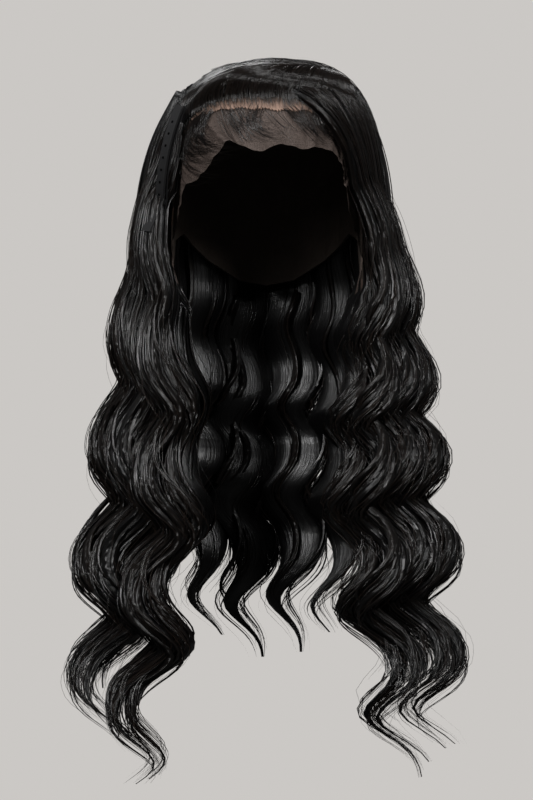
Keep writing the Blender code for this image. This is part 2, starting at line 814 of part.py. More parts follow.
cap = wall(dome("cap", 0.0, CAP_STEP, CAP_ROWS), CAP_WALL)
lace = make_lace()
band = make_band()
tabs = [make_tab("ear_tab_right", -1), make_tab("ear_tab_left", 1)]
clip = make_clip()
whole_hair = make_hair()
room = make_clip_room()
behind_ears = (Vector((0.0, EAR_PLANE_Y - GAP / 2, 0.0)), Vector((0.0, 1.0, 0.0)))
before_ears = (Vector((0.0, EAR_PLANE_Y + GAP / 2, 0.0)), Vector((0.0, -1.0, 0.0)))
above_top = (Vector((0.0, 0.0, TOP_LEVEL - GAP / 2)), Vector((0.0, 0.0, 1.0)))
below_top = (Vector((0.0, 0.0, TOP_LEVEL + GAP / 2)), Vector((0.0, 0.0, -1.0)))
hair = [
    share_of_hair(whole_hair, "hair_right", [behind_ears, parting_plane(-1)], room),
    share_of_hair(whole_hair, "hair_top", [behind_ears, parting_plane(1), below_top], None),
    share_of_hair(whole_hair, "hair_left", [behind_ears, parting_plane(1), above_top], None),
    share_of_hair(whole_hair, "hair_back", [before_ears], None),
]
bpy.data.objects.remove(whole_hair, do_unlink=True)

for made, finish in [
    (cap, net_brown),
    (lace, lace_brown),
    (band, knot_peach),
    *[(tab, net_brown) for tab in tabs],
    *[(piece, clip_black) for piece in clip],
    *[(piece, hair_black) for piece in hair],
]:
    made.data.materials.clear()
    made.data.materials.append(finish)
for made in (cap, lace, band, *tabs, *clip):
    smooth_faces(made)
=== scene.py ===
"""The looks of a long black body-wave lace front wig, dressed on its CAD frame.

Metres, +Z up. The wig faces -Y and the origin is the inside top of its cap. The hair's CAD nodes
are replaced by smooth locks and by strands that Geometry Nodes sweeps along worked-out lines.
"""

import logging
from collections.abc import Sequence
from dataclasses import dataclass
from enum import Enum
from math import pi, sqrt

import bmesh
import bpy
import numpy as np
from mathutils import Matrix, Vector

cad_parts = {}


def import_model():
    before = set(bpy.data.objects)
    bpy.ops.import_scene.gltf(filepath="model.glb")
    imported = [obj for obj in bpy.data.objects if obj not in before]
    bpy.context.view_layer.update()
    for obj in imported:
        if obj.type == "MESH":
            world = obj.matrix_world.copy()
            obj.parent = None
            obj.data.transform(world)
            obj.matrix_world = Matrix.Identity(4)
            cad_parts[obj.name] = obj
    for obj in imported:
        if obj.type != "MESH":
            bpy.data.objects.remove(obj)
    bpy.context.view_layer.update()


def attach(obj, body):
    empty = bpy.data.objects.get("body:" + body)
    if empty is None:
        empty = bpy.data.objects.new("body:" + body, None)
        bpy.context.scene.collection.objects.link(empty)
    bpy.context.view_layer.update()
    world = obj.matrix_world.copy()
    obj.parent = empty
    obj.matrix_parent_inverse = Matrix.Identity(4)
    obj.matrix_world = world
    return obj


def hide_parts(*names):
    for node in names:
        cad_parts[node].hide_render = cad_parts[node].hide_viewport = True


log = logging.getLogger("wig")

PICTURE_WIDTH = 533
PICTURE_HEIGHT = 800
METRES_PER_PIXEL = 0.0008
CAMERA_LEVEL = -0.2608
CAMERA_DISTANCE = 8.0

# Heights off the head form: where hair starts, how deep the bed of hair on the cap is, and where
# the lace, the knotted band and the short hairs on them lie.
HAIR_START = 0.0023
BED_DEPTH = 0.0055
LACE_PROUD = 0.0007
BAND_PROUD = 0.0017
BAND_WALL = 0.0006
BAND_START = 0.0012
SHORT_HAIR_PROUD = BAND_PROUD + 0.0008

# Levels of a lock's ear and chest places, and how a lock thins towards its root: the share of its
# depth on the crown, how far its middle line is buried, and its thickness over the crown.
EAR_LEVEL = -0.13
CHEST_LEVEL = -0.33
CROWN_SHARE = 0.36
BURIED_SHARE = 0.62
OVER_CROWN = 0.64
ROOT_SHARE = 0.5
TIP_SHARE = 0.16

# Strands: sides of each, and least and most radius of each kind, with the points of the short kinds.
STRAND_SIDES = 3
FALL_RADII = (0.00026, 0.00052)
COMBED_RADII = (0.00022, 0.00046)
STRAY_RADII = (0.00010, 0.00017)
ROOT_RADII = (0.00015, 0.00028)
BABY_RADII = (0.00016, 0.00028)
COMBED_POINTS = 26
STRAY_POINTS = 20
ROOT_POINTS = 16
BABY_POINTS = 16

# Flat clumps: least and most half width on a lock and on the cap, and how many follow each path.
LOCK_RIBBON_HALVES = (0.0016, 0.0036)
CAP_RIBBON_HALVES = (0.0016, 0.0032)
CAP_RIBBON_POINTS = 26
CAP_PATHS = 33
RIBBONS_PER_CAP_PATH = 3
COMB_PATHS = 49

# The smooth body: points around a lock, rings along it, its size within the CAD lock, and the grid
# of the bed on the cap.
BODY_AROUND = 20
BODY_RINGS = 91
BODY_SIZE = 0.87
BODY_TIP_LOSS = 0.75
BED_COLUMNS = 40
BED_ROWS = 22
BED_FEATHER = 4.0
BED_SPANS = {"hair_right": (-97.0, -30.0), "hair_left": (-60.0, 96.0), "hair_back": (97.0, 263.0)}


class Side(Enum):
    """Which side of the parting hair falls on."""

    RIGHT = -1
    LEFT = 1


# Rim of the cap: azimuth from the face in degrees, height.
RIM = np.array(
    [
        (0, -0.0215), (25, -0.0225), (45, -0.0270), (56, -0.0350), (66, -0.0470), (71, -0.0610),
        (76, -0.0890), (80, -0.1200), (84, -0.1500), (88, -0.1640), (95, -0.1620), (104, -0.1330),
        (118, -0.1270), (140, -0.1480), (162, -0.1640), (180, -0.1680),
    ]
)

# Lace: azimuth where it leaves the rim, azimuth of its cut edge, height of its cut edge.
LACE = np.array(
    [
        (-83.5, -66.0, -0.1690), (-82.5, -72.5, -0.1580), (-81.5, -76.0, -0.1440),
        (-80.0, -70.5, -0.1270), (-78.5, -64.0, -0.1110), (-76.5, -59.0, -0.0930),
        (-73.5, -47.0, -0.0865), (-69.5, -37.5, -0.0770), (-64.0, -29.5, -0.0640),
        (-53.0, -24.0, -0.0560), (-38.0, -16.0, -0.0600), (-22.0, -4.0, -0.0645),
        (-6.0, 9.0, -0.0590), (14.0, 22.0, -0.0630), (32.0, 33.0, -0.0610), (49.0, 44.5, -0.0655),
        (61.0, 51.5, -0.0750), (68.5, 53.5, -0.0870), (73.5, 56.0, -0.1010), (77.0, 63.0, -0.1200),
        (79.5, 71.0, -0.1340), (81.5, 78.5, -0.1500), (82.8, 76.0, -0.1660), (84.0, 65.0, -0.1780),
    ]
)

# Knotted band: azimuth of the rim, depth in metres.
BAND = np.array(
    [
        (-80.0, 0.0050), (-76.5, 0.0075), (-71.0, 0.0092), (-66.0, 0.0096), (-58.0, 0.0096),
        (-40.0, 0.0105), (-15.0, 0.0135), (5.0, 0.0145), (25.0, 0.0130), (45.0, 0.0095),
        (58.0, 0.0060), (64.0, 0.0026),
    ]
)

# Heights of the crests of each side's waves, how far the waves swing sideways at depths below the
# crown, how far they swing forward as a share of that, and how much broader crests are than notches.
CRESTS = {
    Side.RIGHT: (-0.106, -0.200, -0.294, -0.387, -0.481, -0.575),
    Side.LEFT: (-0.097, -0.169, -0.241, -0.301, -0.377, -0.462, -0.552),
}
SWING_HEIGHTS = (0.12, 0.19, 0.30, 0.39, 0.48, 0.60)
SWING_SIZES = (0.0, 0.0055, 0.0110, 0.0150, 0.0190, 0.0190)
SWING_DEPTH_SHARE = 0.45
CREST_BREADTH = 0.15

# How a hair rises from the hairline into the roll: azimuth past its root, share of the rim's drop,
# height off the head form.
ROOT_COUNT = 1080
ROOT_PATH = np.array(
    [
        (1.5, 0.99, 0.0066), (6.0, 0.88, 0.0130), (15.0, 0.74, 0.0154), (28.0, 0.62, 0.0146),
        (44.0, 0.55, 0.0116),
    ]
)

# How much of that height and of that sweep a hair takes: azimuth of its root, share.
ROOT_HEIGHTS = np.array([(-79.0, 0.45), (-60.0, 0.5), (-38.0, 1.0), (63.0, 0.95)])
ROOT_SWEEPS = np.array([(-79.0, -0.15), (-58.0, 0.1), (-45.0, 1.0), (20.0, 0.85), (63.0, 0.4)])

# Baby hairs: azimuth of the root, spread of the roots, count, bow and lean in degrees, length.
BABY_HAIRS = (
    (-48.0, 3.0, 70, -16.0, 20.0, 0.027),
    (-42.0, 3.0, 36, -9.0, 22.0, 0.024),
    (-26.0, 5.0, 28, 6.0, 14.0, 0.019),
    (-8.0, 6.0, 26, -5.0, 18.0, 0.018),
    (12.0, 6.0, 26, 6.0, 20.0, 0.018),
    (32.0, 5.0, 28, -4.0, 16.0, 0.019),
    (50.0, 4.0, 30, 5.0, 8.0, 0.022),
    (61.0, 2.0, 26, 3.0, 3.0, 0.030),
    (-68.0, 2.5, 24, -3.0, -3.0, 0.024),
)


@dataclass(frozen=True)
class LockRow:
    """Where one lock of hair runs: seen from above at its root and at its highest, then at levels."""

    side: Side
    root: tuple[float, float]
    over: tuple[float, float]
    lift: float
    ear: tuple[float, float]
    chest: tuple[float, float]
    tip: tuple[float, float, float]
    half: float
    deep: float
    lag: float
    gain: float


R, L = Side.RIGHT, Side.LEFT
LOCKS = (
    LockRow(R, (-0.0655, -0.034), (-0.0790, -0.044), 0.002, (-0.0885, -0.036), (-0.0675, -0.066),
            (-0.100, -0.060, -0.562), 0.0145, 0.0100, 0.020, 0.9),
    LockRow(R, (-0.0650, -0.028), (-0.0775, -0.036), 0.003, (-0.090, -0.048), (-0.0850, -0.074),
            (-0.110, -0.058, -0.566), 0.0165, 0.0105, 0.023, 1.0),
    LockRow(R, (-0.062, -0.020), (-0.0710, -0.020), 0.003, (-0.095, -0.026), (-0.1070, -0.050),
            (-0.128, -0.046, -0.520), 0.0170, 0.0120, 0.004, 1.0),
    LockRow(R, (-0.060, -0.008), (-0.0710, 0.000), 0.003, (-0.095, 0.002), (-0.1225, -0.004),
            (-0.137, -0.006, -0.532), 0.0175, 0.0130, 0.0, 1.0),
    LockRow(R, (-0.057, 0.010), (-0.0660, 0.026), 0.003, (-0.091, 0.028), (-0.1090, 0.032),
            (-0.115, 0.028, -0.492), 0.0170, 0.0120, 0.004, 0.9),
    LockRow(R, (-0.062, -0.006), (-0.0680, -0.008), 0.0, (-0.082, -0.004), (-0.0840, -0.022),
            (-0.104, -0.018, -0.500), 0.0230, 0.0180, 0.010, 0.8),
    LockRow(R, (-0.058, 0.030), (-0.0640, 0.034), 0.0, (-0.080, 0.034), (-0.0640, 0.024),
            (-0.096, 0.018, -0.452), 0.0220, 0.0170, 0.010, 0.7),
    LockRow(L, (-0.050, -0.048), (0.0120, -0.066), 0.0, (0.0885, -0.036), (0.0665, -0.066),
            (0.106, -0.060, -0.560), 0.0145, 0.0095, 0.004, 0.9),
    LockRow(L, (-0.051, -0.038), (0.0140, -0.046), -0.003, (0.0900, -0.048), (0.0860, -0.074),
            (0.112, -0.062, -0.548), 0.0180, 0.0105, 0.006, 1.0),
    LockRow(L, (-0.050, -0.024), (0.0160, -0.020), -0.004, (0.0950, -0.026), (0.1070, -0.052),
            (0.128, -0.046, -0.538), 0.0190, 0.0115, 0.0, 1.0),
    LockRow(L, (-0.048, -0.006), (0.0180, 0.006), -0.004, (0.0960, 0.002), (0.1260, -0.004),
            (0.138, -0.004, -0.536), 0.0190, 0.0120, 0.0, 1.0),
    LockRow(L, (-0.046, 0.012), (0.0200, 0.030), -0.004, (0.0930, 0.028), (0.1150, 0.032),
            (0.122, 0.028, -0.490), 0.0180, 0.0120, 0.004, 0.9),
    LockRow(L, (0.0560, -0.010), (0.0660, -0.012), 0.0, (0.0820, -0.004), (0.0850, -0.022),
            (0.112, -0.018, -0.500), 0.0240, 0.0190, 0.006, 0.8),
    LockRow(L, (0.0540, 0.030), (0.0620, 0.034), 0.0, (0.0800, 0.034), (0.0660, 0.024),
            (0.098, 0.018, -0.455), 0.0220, 0.0170, 0.006, 0.7),
    LockRow(L, (-0.044, 0.034), (-0.0560, 0.066), 0.0020, (-0.0760, 0.064), (-0.0900, 0.056),
            (-0.086, 0.048, -0.470), 0.0230, 0.0120, 0.006, 0.8),
    LockRow(L, (-0.034, 0.036), (-0.0360, 0.080), 0.0020, (-0.0480, 0.094), (-0.0560, 0.078),
            (-0.046, 0.062, -0.450), 0.0250, 0.0130, 0.0, 0.7),
    LockRow(L, (-0.014, 0.038), (-0.0140, 0.086), 0.0020, (-0.0170, 0.106), (-0.0190, 0.086),
            (-0.016, 0.070, -0.468), 0.0250, 0.0135, 0.006, 0.7),
    LockRow(L, (0.0060, 0.038), (0.0120, 0.086), 0.0020, (0.0160, 0.106), (0.0190, 0.086),
            (0.015, 0.070, -0.464), 0.0250, 0.0135, 0.0, 0.7),
    LockRow(L, (0.0220, 0.036), (0.0380, 0.080), 0.0020, (0.0480, 0.094), (0.0560, 0.078),
            (0.046, 0.062, -0.448), 0.0250, 0.0130, 0.006, 0.7),
    LockRow(L, (0.0340, 0.034), (0.0560, 0.066), 0.0020, (0.0770, 0.064), (0.0910, 0.056),
            (0.086, 0.048, -0.470), 0.0230, 0.0120, 0.006, 0.8),
)

# Rows between which the hair on the cap is combed, from the front of each mass to its back.
BEHIND_RIGHT = LockRow(R, (-0.050, 0.027), (-0.0590, 0.046), 0.0020, (-0.085, 0.047), (-0.100, 0.043),
                       (-0.106, 0.036, -0.480), 0.0180, 0.0120, 0.005, 0.85)
BEHIND_LEFT = LockRow(L, (-0.030, 0.032), (0.0300, 0.052), -0.003, (0.087, 0.047), (0.104, 0.043),
                      (0.112, 0.036, -0.478), 0.0180, 0.0120, 0.005, 0.85)
CURTAINS = {
    "hair_right": (*LOCKS[0:5], BEHIND_RIGHT),
    "hair_left": (*LOCKS[7:12], BEHIND_LEFT),
    "hair_back": LOCKS[14:20],
}
BUNDLES = {
    "hair_right": LOCKS[0:7],
    "hair_left": LOCKS[7:14],
    "hair_back": LOCKS[14:20],
}


# The CAD nodes that each mass stands for.
NODES = {
    "hair_right": ("hair_right",),
    "hair_left": ("hair_left", "hair_top"),
    "hair_back": ("hair_back",),
}


def smooth_rows(values: np.ndarray, place: np.ndarray) -> np.ndarray:
    """Read a table on smooth curves through its rows.

    Args:
        values: The table, one row per stop.
        place: Where to read it, counted in rows.

    Returns:
        One row for each place.
    """
    last = len(values) - 1
    index = np.clip(place.astype(int), 0, last - 1)
    share = (place - index)[:, None]
    before = values[np.maximum(index - 1, 0)]
    start = values[index]
    end = values[index + 1]
    after = values[np.minimum(index + 2, last)]
    pull = 0.5 * (end - before)
    push = 0.5 * (after - start)
    square = share * share
    cube = square * share
    return (
        start * (2 * cube - 3 * square + 1)
        + pull * (cube - 2 * square + share)
        + end * (3 * square - 2 * cube)
        + push * (cube - square)
    )


def ramp(low: float, high: float, value: np.ndarray) -> np.ndarray:
    """Rise smoothly from 0 to 1.

    Args:
        low: Where the rise starts.
        high: Where it ends.
        value: Where it is read.

    Returns:
        The height of the rise at each value.
    """
    share = np.clip((value - low) / (high - low), 0.0, 1.0)
    return share * share * (3 - 2 * share)


def unit(rows: np.ndarray) -> np.ndarray:
    """Return the rows, each one long."""
    return rows / np.maximum(np.linalg.norm(rows, axis=-1, keepdims=True), 1e-9)


@dataclass(frozen=True)
class HeadForm:
    """The form that the cap is made on."""

    half_width: float = 0.0755
    half_depth: float = 0.097
    crown: float = 0.105
    power: float = 3.0
    side_drop: float = 0.12
    nape_tuck: float = 0.10
    nape_reach: float = 0.065
    free_from: float = -0.165
    free_below: float = -0.25

    def drop_at(self, height: np.ndarray) -> np.ndarray:
        """Turn heights into drops: 0 at the crown and 1 where the head is widest.

        Args:
            height: Heights in metres.

        Returns:
            The drops.
        """
        height = np.asarray(height, dtype=float)
        level = np.clip((height + self.crown) / self.crown, 0.0, 1.0)
        above = np.arccos(level ** (self.power / 2)) / (pi / 2)
        below = 1.0 + (-self.crown - height) / self.side_drop
        return np.where(height < -self.crown, below, above)

    def point(self, azimuth: np.ndarray, drop: np.ndarray, proud: float | np.ndarray) -> np.ndarray:
        """Place points on the head form.

        Args:
            azimuth: Degrees from the face, positive to the wearer's left.
            drop: How far down the head.
            proud: How far off the head form.

        Returns:
            The points, one row each.
        """
        angle = np.radians(azimuth)
        drop = np.asarray(drop, dtype=float)
        upper = np.minimum(drop, 1.0)
        past = np.maximum(drop - 1.0, 0.0) * self.side_drop
        reach = np.sin(upper * pi / 2) ** (2 / self.power)
        level = np.maximum(np.cos(upper * pi / 2), 0.0) ** (2 / self.power)
        height = -self.crown + (self.crown + proud) * level - past
        tuck = self.nape_tuck * (past / self.nape_reach) ** 2
        reach = reach * (1.0 - tuck * np.maximum(-np.cos(angle), 0.0))
        x = (self.half_width + proud) * reach * np.sin(angle)
        y = -(self.half_depth + proud) * reach * np.cos(angle)
        return np.stack(np.broadcast_arrays(x, y, height), axis=-1)

    def above(self, x: float, y: float, proud: float) -> np.ndarray:
        """Place a point over the crown.

        Args:
            x: Where it is across.
            y: Where it is along.
            proud: How far off the head form.

        Returns:
            The point.
        """
        spread = sqrt((x / self.half_width) ** 2 + (y / self.half_depth) ** 2)
        level = (1.0 - min(spread, 0.999) ** self.power) ** (1 / self.power)
        return np.array((x, y, -self.crown + (self.crown + proud) * level))

    def outward(self, points: np.ndarray) -> np.ndarray:
        """Point away from the head.

        Args:
            points: Places near the head.

        Returns:
            A direction one long for each.
        """
        away = np.empty_like(points)
        away[:, 0] = points[:, 0] / self.half_width**2
        away[:, 1] = points[:, 1] / self.half_depth**2
        away[:, 2] = np.maximum(points[:, 2] + self.crown, 0.0) / self.crown**2
        return unit(away)

    def clear(self, points: np.ndarray, proud: np.ndarray) -> np.ndarray:
        """Move points out of the head form where they are nearer than proud.

        Args:
            points: The points.
            proud: The least distance for each.

        Returns:
            The moved points.
        """
        moved = points.copy()
        width = self.half_width + proud
        depth = self.half_depth + proud
        flat = np.sqrt((points[:, 0] / width) ** 2 + (points[:, 1] / depth) ** 2)
        rise = points[:, 2] + self.crown
        level = np.maximum(rise, 0.0) / (self.crown + proud)
        size = (flat**self.power + level**self.power) ** (1 / self.power)
        upper = (rise > 0) & (size < 1.0)
        centre = np.array((0.0, 0.0, -self.crown))
        moved[upper] = centre + (points[upper] - centre) / size[upper][:, None]
        least = ramp(self.free_below, self.free_from, points[:, 2])
        lower = (rise <= 0) & (flat < least)
        moved[lower, :2] *= (least[lower] / np.maximum(flat[lower], 1e-6))[:, None]
        return moved

    def rim_drop(self, azimuth: np.ndarray) -> np.ndarray:
        """Return how far down the cap reaches at azimuths."""
        return self.drop_at(np.interp(np.abs(azimuth), RIM[:, 0], RIM[:, 1]))


HEAD = HeadForm()


@dataclass
class LockPath:
    """A lock's middle line with its two half axes, sampled evenly from root to tip."""

    row: LockRow
    middle: np.ndarray
    flat: np.ndarray
    up: np.ndarray
    share: np.ndarray

    @classmethod
    def along(cls, row: LockRow, samples: int = 121) -> "LockPath":
        """Work out a lock's path from its row.

        Args:
            row: Where the lock runs.
            samples: How many places along it are kept.

        Returns:
            The path.
        """
        stops = np.array(
            [
                HEAD.above(*row.root, HAIR_START),
                HEAD.above(*row.over, HAIR_START + row.lift),
                (*row.ear, EAR_LEVEL),
                (*row.chest, CHEST_LEVEL),
                row.tip,
            ]
        )
        place = np.linspace(0.0, len(stops) - 1, 241)
        line = smooth_rows(stops, place)
        grown = CROWN_SHARE + (1 - CROWN_SHARE) * ramp(0.9, 2.0, place)
        line = HEAD.clear(line, HAIR_START + BURIED_SHARE * row.deep * grown)
        steps = np.linalg.norm(np.diff(line, axis=0), axis=1)
        length = np.concatenate(([0.0], np.cumsum(steps)))
        share = np.linspace(0.0, 1.0, samples)
        wanted = share * length[-1]
        middle = np.stack([np.interp(wanted, length, line[:, i]) for i in range(3)], axis=1)
        ahead = np.gradient(middle, axis=0)
        kernel = np.ones(5) / 5
        padded = np.pad(ahead, ((2, 2), (0, 0)), mode="edge")
        ahead = np.stack([np.convolve(padded[:, i], kernel, "valid") for i in range(3)], axis=1)
        ahead = unit(ahead)
        flat = unit(np.cross(ahead, HEAD.outward(middle)))
        up = unit(np.cross(flat, ahead))
        size = ROOT_SHARE + (1 - ROOT_SHARE) * ramp(0.0, 0.22, share)
        size = size * cls.narrowed(0.77, 1.03, share)
        thin = OVER_CROWN if row.side is Side.LEFT else 1.0
        thick = row.deep * size * (thin + (1 - thin) * ramp(0.20, 0.38, share))
        return cls(row, middle, flat * (row.half * size)[:, None], up * thick[:, None], share)

    @staticmethod
    def narrowed(low: float, high: float, share: np.ndarray) -> np.ndarray:
        """Return how a lock narrows to its tip between two shares of its length."""
        return TIP_SHARE + (1 - TIP_SHARE) * (1 - ramp(low, high, share))

    def waved(self, lag: float, gain: float) -> np.ndarray:
        """Swing the middle line with the side's waves.

        Args:
            lag: How much lower the waves sit than the row's.
            gain: How much stronger they are than the row's.

        Returns:
            The swung middle line.
        """
        crests = -np.array(CRESTS[self.row.side])
        height = self.middle[:, 2]
        turns = np.interp(-(height + self.row.lag + lag), crests, np.arange(len(crests)))
        size = self.row.gain * gain * np.interp(-height, SWING_HEIGHTS, SWING_SIZES)
        swung = self.middle.copy()
        broad = CREST_BREADTH * (1 - np.cos(4 * pi * turns))
        swung[:, 0] += self.row.side.value * size * (np.cos(2 * pi * turns) + broad)
        swung[:, 1] -= SWING_DEPTH_SHARE * size * np.sin(2 * pi * turns)
        return swung


@dataclass
class Strands:
    """Lines of hair that are being gathered for one piece."""

    points: list[np.ndarray]
    radii: list[np.ndarray]
    tones: list[float]

    @classmethod
    def none(cls) -> "Strands":
        """Return no strands."""
        return cls([], [], [])

    def add(self, line: np.ndarray, radius: float, tone: float, taper: tuple[float, float]) -> None:
        """Add a strand.

        Args:
            line: Its points from root to tip.
            radius: Its radius.
            tone: How far its colour leans to the edge tone.
            taper: Shares of its length over which it grows from its root and fades at its tip.
        """
        share = np.linspace(0.0, 1.0, len(line))
        size = np.minimum((share + 0.02) / taper[0], 1.0) * np.minimum((1.02 - share) / taper[1], 1.0)
        self.points.append(line)
        self.radii.append(radius * np.clip(size, 0.12, 1.0))
        self.tones.append(tone)


@dataclass
class Ribbons:
    """Flat clumps of hair that are being gathered for one piece, each a thin closed band."""

    points: list[np.ndarray]
    sides: list[np.ndarray]
    ends: list[np.ndarray]
    places: list[np.ndarray]
    flows: list[np.ndarray]
    tones: list[np.ndarray]
    count: int = 0

    PROFILE = np.array(((-1.0, 0.0), (0.0, 1.0), (1.0, 0.0)))

    @classmethod
    def none(cls) -> "Ribbons":
        """Return no ribbons."""
        return cls([], [], [], [], [], [])

    def add(
        self, line: np.ndarray, across: np.ndarray, normal: np.ndarray, half: np.ndarray, rise: float,
        tone: float, shift: float,
    ) -> None:
        """Add a ribbon.

        Args:
            line: The middle of its underside, from root to tip.
            across: Which way its width runs at each point.
            normal: Which way it faces at each point.
            half: Half its width at each point.
            rise: How far it is crowned, as a share of half its width.
            tone: How far its colour leans to the edge tone.
            shift: Where its texture starts.
        """
        rows = len(line)
        rings = (
            line[:, None]
            + across[:, None] * (half[:, None] * self.PROFILE[:, 0])[:, :, None]
            + normal[:, None] * (rise * half[:, None] * self.PROFILE[:, 1])[:, :, None]
        )
        order = np.arange(rows * 3).reshape(rows, 3) + self.count
        after = np.roll(order, -1, axis=1)
        length = np.concatenate(([0.0], np.cumsum(np.linalg.norm(np.diff(line, axis=0), axis=1))))
        width = np.array((0.0, 0.5, 1.0, 0.0)) * 2 * float(half.max()) + shift
        spots = np.empty((rows - 1, 3, 4, 2))
        for side in range(3):
            spots[:, side, (0, 1), 0] = width[side]
            spots[:, side, (2, 3), 0] = width[side + 1]
        spots[:, :, (0, 3), 1] = length[:-1, None, None]
        spots[:, :, (1, 2), 1] = length[1:, None, None]
        self.points.append(rings.reshape(-1, 3))
        self.sides.append(np.stack((order[:-1], order[1:], after[1:], after[:-1]), axis=-1).reshape(-1, 4))
        self.ends.append(np.stack((order[0], order[-1][::-1])))
        self.places.append(spots.reshape(-1, 2))
        self.flows.append(np.repeat(unit(np.gradient(line, axis=0)), 3, axis=0))
        self.tones.append(np.full(rows * 3, tone))
        self.count += rows * 3

    def weave(self, name: str) -> bpy.types.Object:
        """Return the piece that the ribbons make."""
        mesh = bpy.data.meshes.new(name)
        points = np.concatenate(self.points)
        sides = np.concatenate(self.sides)
        ends = np.concatenate(self.ends)
        mesh.vertices.add(len(points))
        mesh.vertices.foreach_set("co", points.astype(np.float32).ravel())
        mesh.loops.add(sides.size + ends.size)
        corners = np.concatenate((sides.ravel(), ends.ravel()))
        mesh.loops.foreach_set("vertex_index", corners.astype(np.int32))
        mesh.polygons.add(len(sides) + len(ends))
        starts = np.concatenate((np.arange(len(sides)) * 4, sides.size + np.arange(len(ends)) * 3))
        mesh.polygons.foreach_set("loop_start", starts.astype(np.int32))
        mesh.update(calc_edges=True)
        layer = mesh.uv_layers.new(name="UVMap")
        places = np.concatenate((*self.places, np.zeros((ends.size, 2))))
        layer.data.foreach_set("uv", places.astype(np.float32).ravel())
        store(mesh, "flow", "FLOAT_VECTOR", np.concatenate(self.flows))
        store(mesh, "tone", "FLOAT", np.concatenate(self.tones))
        mesh.shade_smooth()
        mesh.validate()
        return link(name, mesh)


@dataclass(frozen=True)
class Finish:
    """A plain finish."""

    name: str
    colour: tuple[float, float, float]
    roughness: float
    specular: float = 0.5

    def blank(self) -> tuple[bpy.types.Material, bpy.types.Node]:
        """Return a new material and its shader, with the finish's constant values set."""
        made = bpy.data.materials.new(self.name)
        made.use_nodes = True
        shader = made.node_tree.nodes["Principled BSDF"]
        shader.inputs["Base Color"].default_value = (*self.colour, 1.0)
        shader.inputs["Roughness"].default_value = self.roughness
        shader.inputs["Specular IOR Level"].default_value = self.specular
        return made, shader


@dataclass(frozen=True)
class HairFinish(Finish):
    """Glossy dark fibre with a brownish lean at its thin edges and a stretched highlight."""

    edge_colour: tuple[float, float, float] = (0.022, 0.014, 0.010)
    stretch: float = 0.65
    streaks: float = 0.0

    def make(self) -> bpy.types.Material:
        """Return the hair's material."""
        made, shader = self.blank()
        nodes = made.node_tree.nodes
        links = made.node_tree.links
        shader.inputs["Anisotropic"].default_value = self.stretch
        shader.inputs["Anisotropic Rotation"].default_value = 0.25
        tone = nodes.new("ShaderNodeAttribute")
        tone.attribute_name = "tone"
        mix = nodes.new("ShaderNodeMix")
        mix.data_type = "RGBA"
        mix.inputs["A"].default_value = (*self.colour, 1.0)
        mix.inputs["B"].default_value = (*self.edge_colour, 1.0)
        links.new(tone.outputs["Fac"], mix.inputs["Factor"])
        links.new(mix.outputs["Result"], shader.inputs["Base Color"])
        flow = nodes.new("ShaderNodeAttribute")
        flow.attribute_name = "flow"
        links.new(flow.outputs["Vector"], shader.inputs["Tangent"])
        if self.streaks:
            place = nodes.new("ShaderNodeUVMap")
            place.uv_map = "UVMap"
            stretch = nodes.new("ShaderNodeMapping")
            stretch.inputs["Scale"].default_value = (1500.0, 9.0, 1.0)
            grain = nodes.new("ShaderNodeTexNoise")
            grain.inputs["Scale"].default_value = 1.0
            grain.inputs["Detail"].default_value = 5.0
            bump = nodes.new("ShaderNodeBump")
            bump.inputs["Strength"].default_value = self.streaks
            bump.inputs["Distance"].default_value = 0.0012
            links.new(place.outputs["UV"], stretch.inputs["Vector"])
            links.new(stretch.outputs["Vector"], grain.inputs["Vector"])
            links.new(grain.outputs["Fac"], bump.inputs["Height"])
            links.new(bump.outputs["Normal"], shader.inputs["Normal"])
        return made


@dataclass(frozen=True)
class NetFinish(Finish):
    """A fine net, let through by its holes as far as its openness says."""

    cells: float = 900.0
    openness: float = 0.0
    relief: float = 0.25
    blotch: float = 0.3

    def make(self) -> bpy.types.Material:
        """Return the net's material."""
        made, shader = self.blank()
        nodes = made.node_tree.nodes
        links = made.node_tree.links
        place = nodes.new("ShaderNodeTexCoord")
        cells = nodes.new("ShaderNodeTexVoronoi")
        cells.feature = "DISTANCE_TO_EDGE"
        cells.inputs["Scale"].default_value = self.cells
        bump = nodes.new("ShaderNodeBump")
        bump.inputs["Strength"].default_value = self.relief
        bump.inputs["Distance"].default_value = 0.0004
        cloud = nodes.new("ShaderNodeTexNoise")
        cloud.inputs["Scale"].default_value = 60.0
        cloud.inputs["Detail"].default_value = 4.0
        tint = nodes.new("ShaderNodeMix")
        tint.data_type = "RGBA"
        dark = tuple(part * (1.0 - self.blotch) for part in self.colour)
        tint.inputs["A"].default_value = (*dark, 1.0)
        tint.inputs["B"].default_value = (*(part * (1.0 + self.blotch) for part in self.colour), 1.0)
        links.new(place.outputs["Object"], cells.inputs["Vector"])
        links.new(place.outputs["Object"], cloud.inputs["Vector"])
        links.new(cells.outputs["Distance"], bump.inputs["Height"])
        links.new(bump.outputs["Normal"], shader.inputs["Normal"])
        links.new(cloud.outputs["Fac"], tint.inputs["Factor"])
        links.new(tint.outputs["Result"], shader.inputs["Base Color"])
        if self.openness:
            holes = nodes.new("ShaderNodeMapRange")
            holes.inputs["From Min"].default_value = 0.10
            holes.inputs["From Max"].default_value = 0.22
            holes.inputs["To Min"].default_value = 1.0
            holes.inputs["To Max"].default_value = 1.0 - self.openness
            links.new(cells.outputs["Distance"], holes.inputs["Value"])
            links.new(holes.outputs["Result"], shader.inputs["Alpha"])
        return made


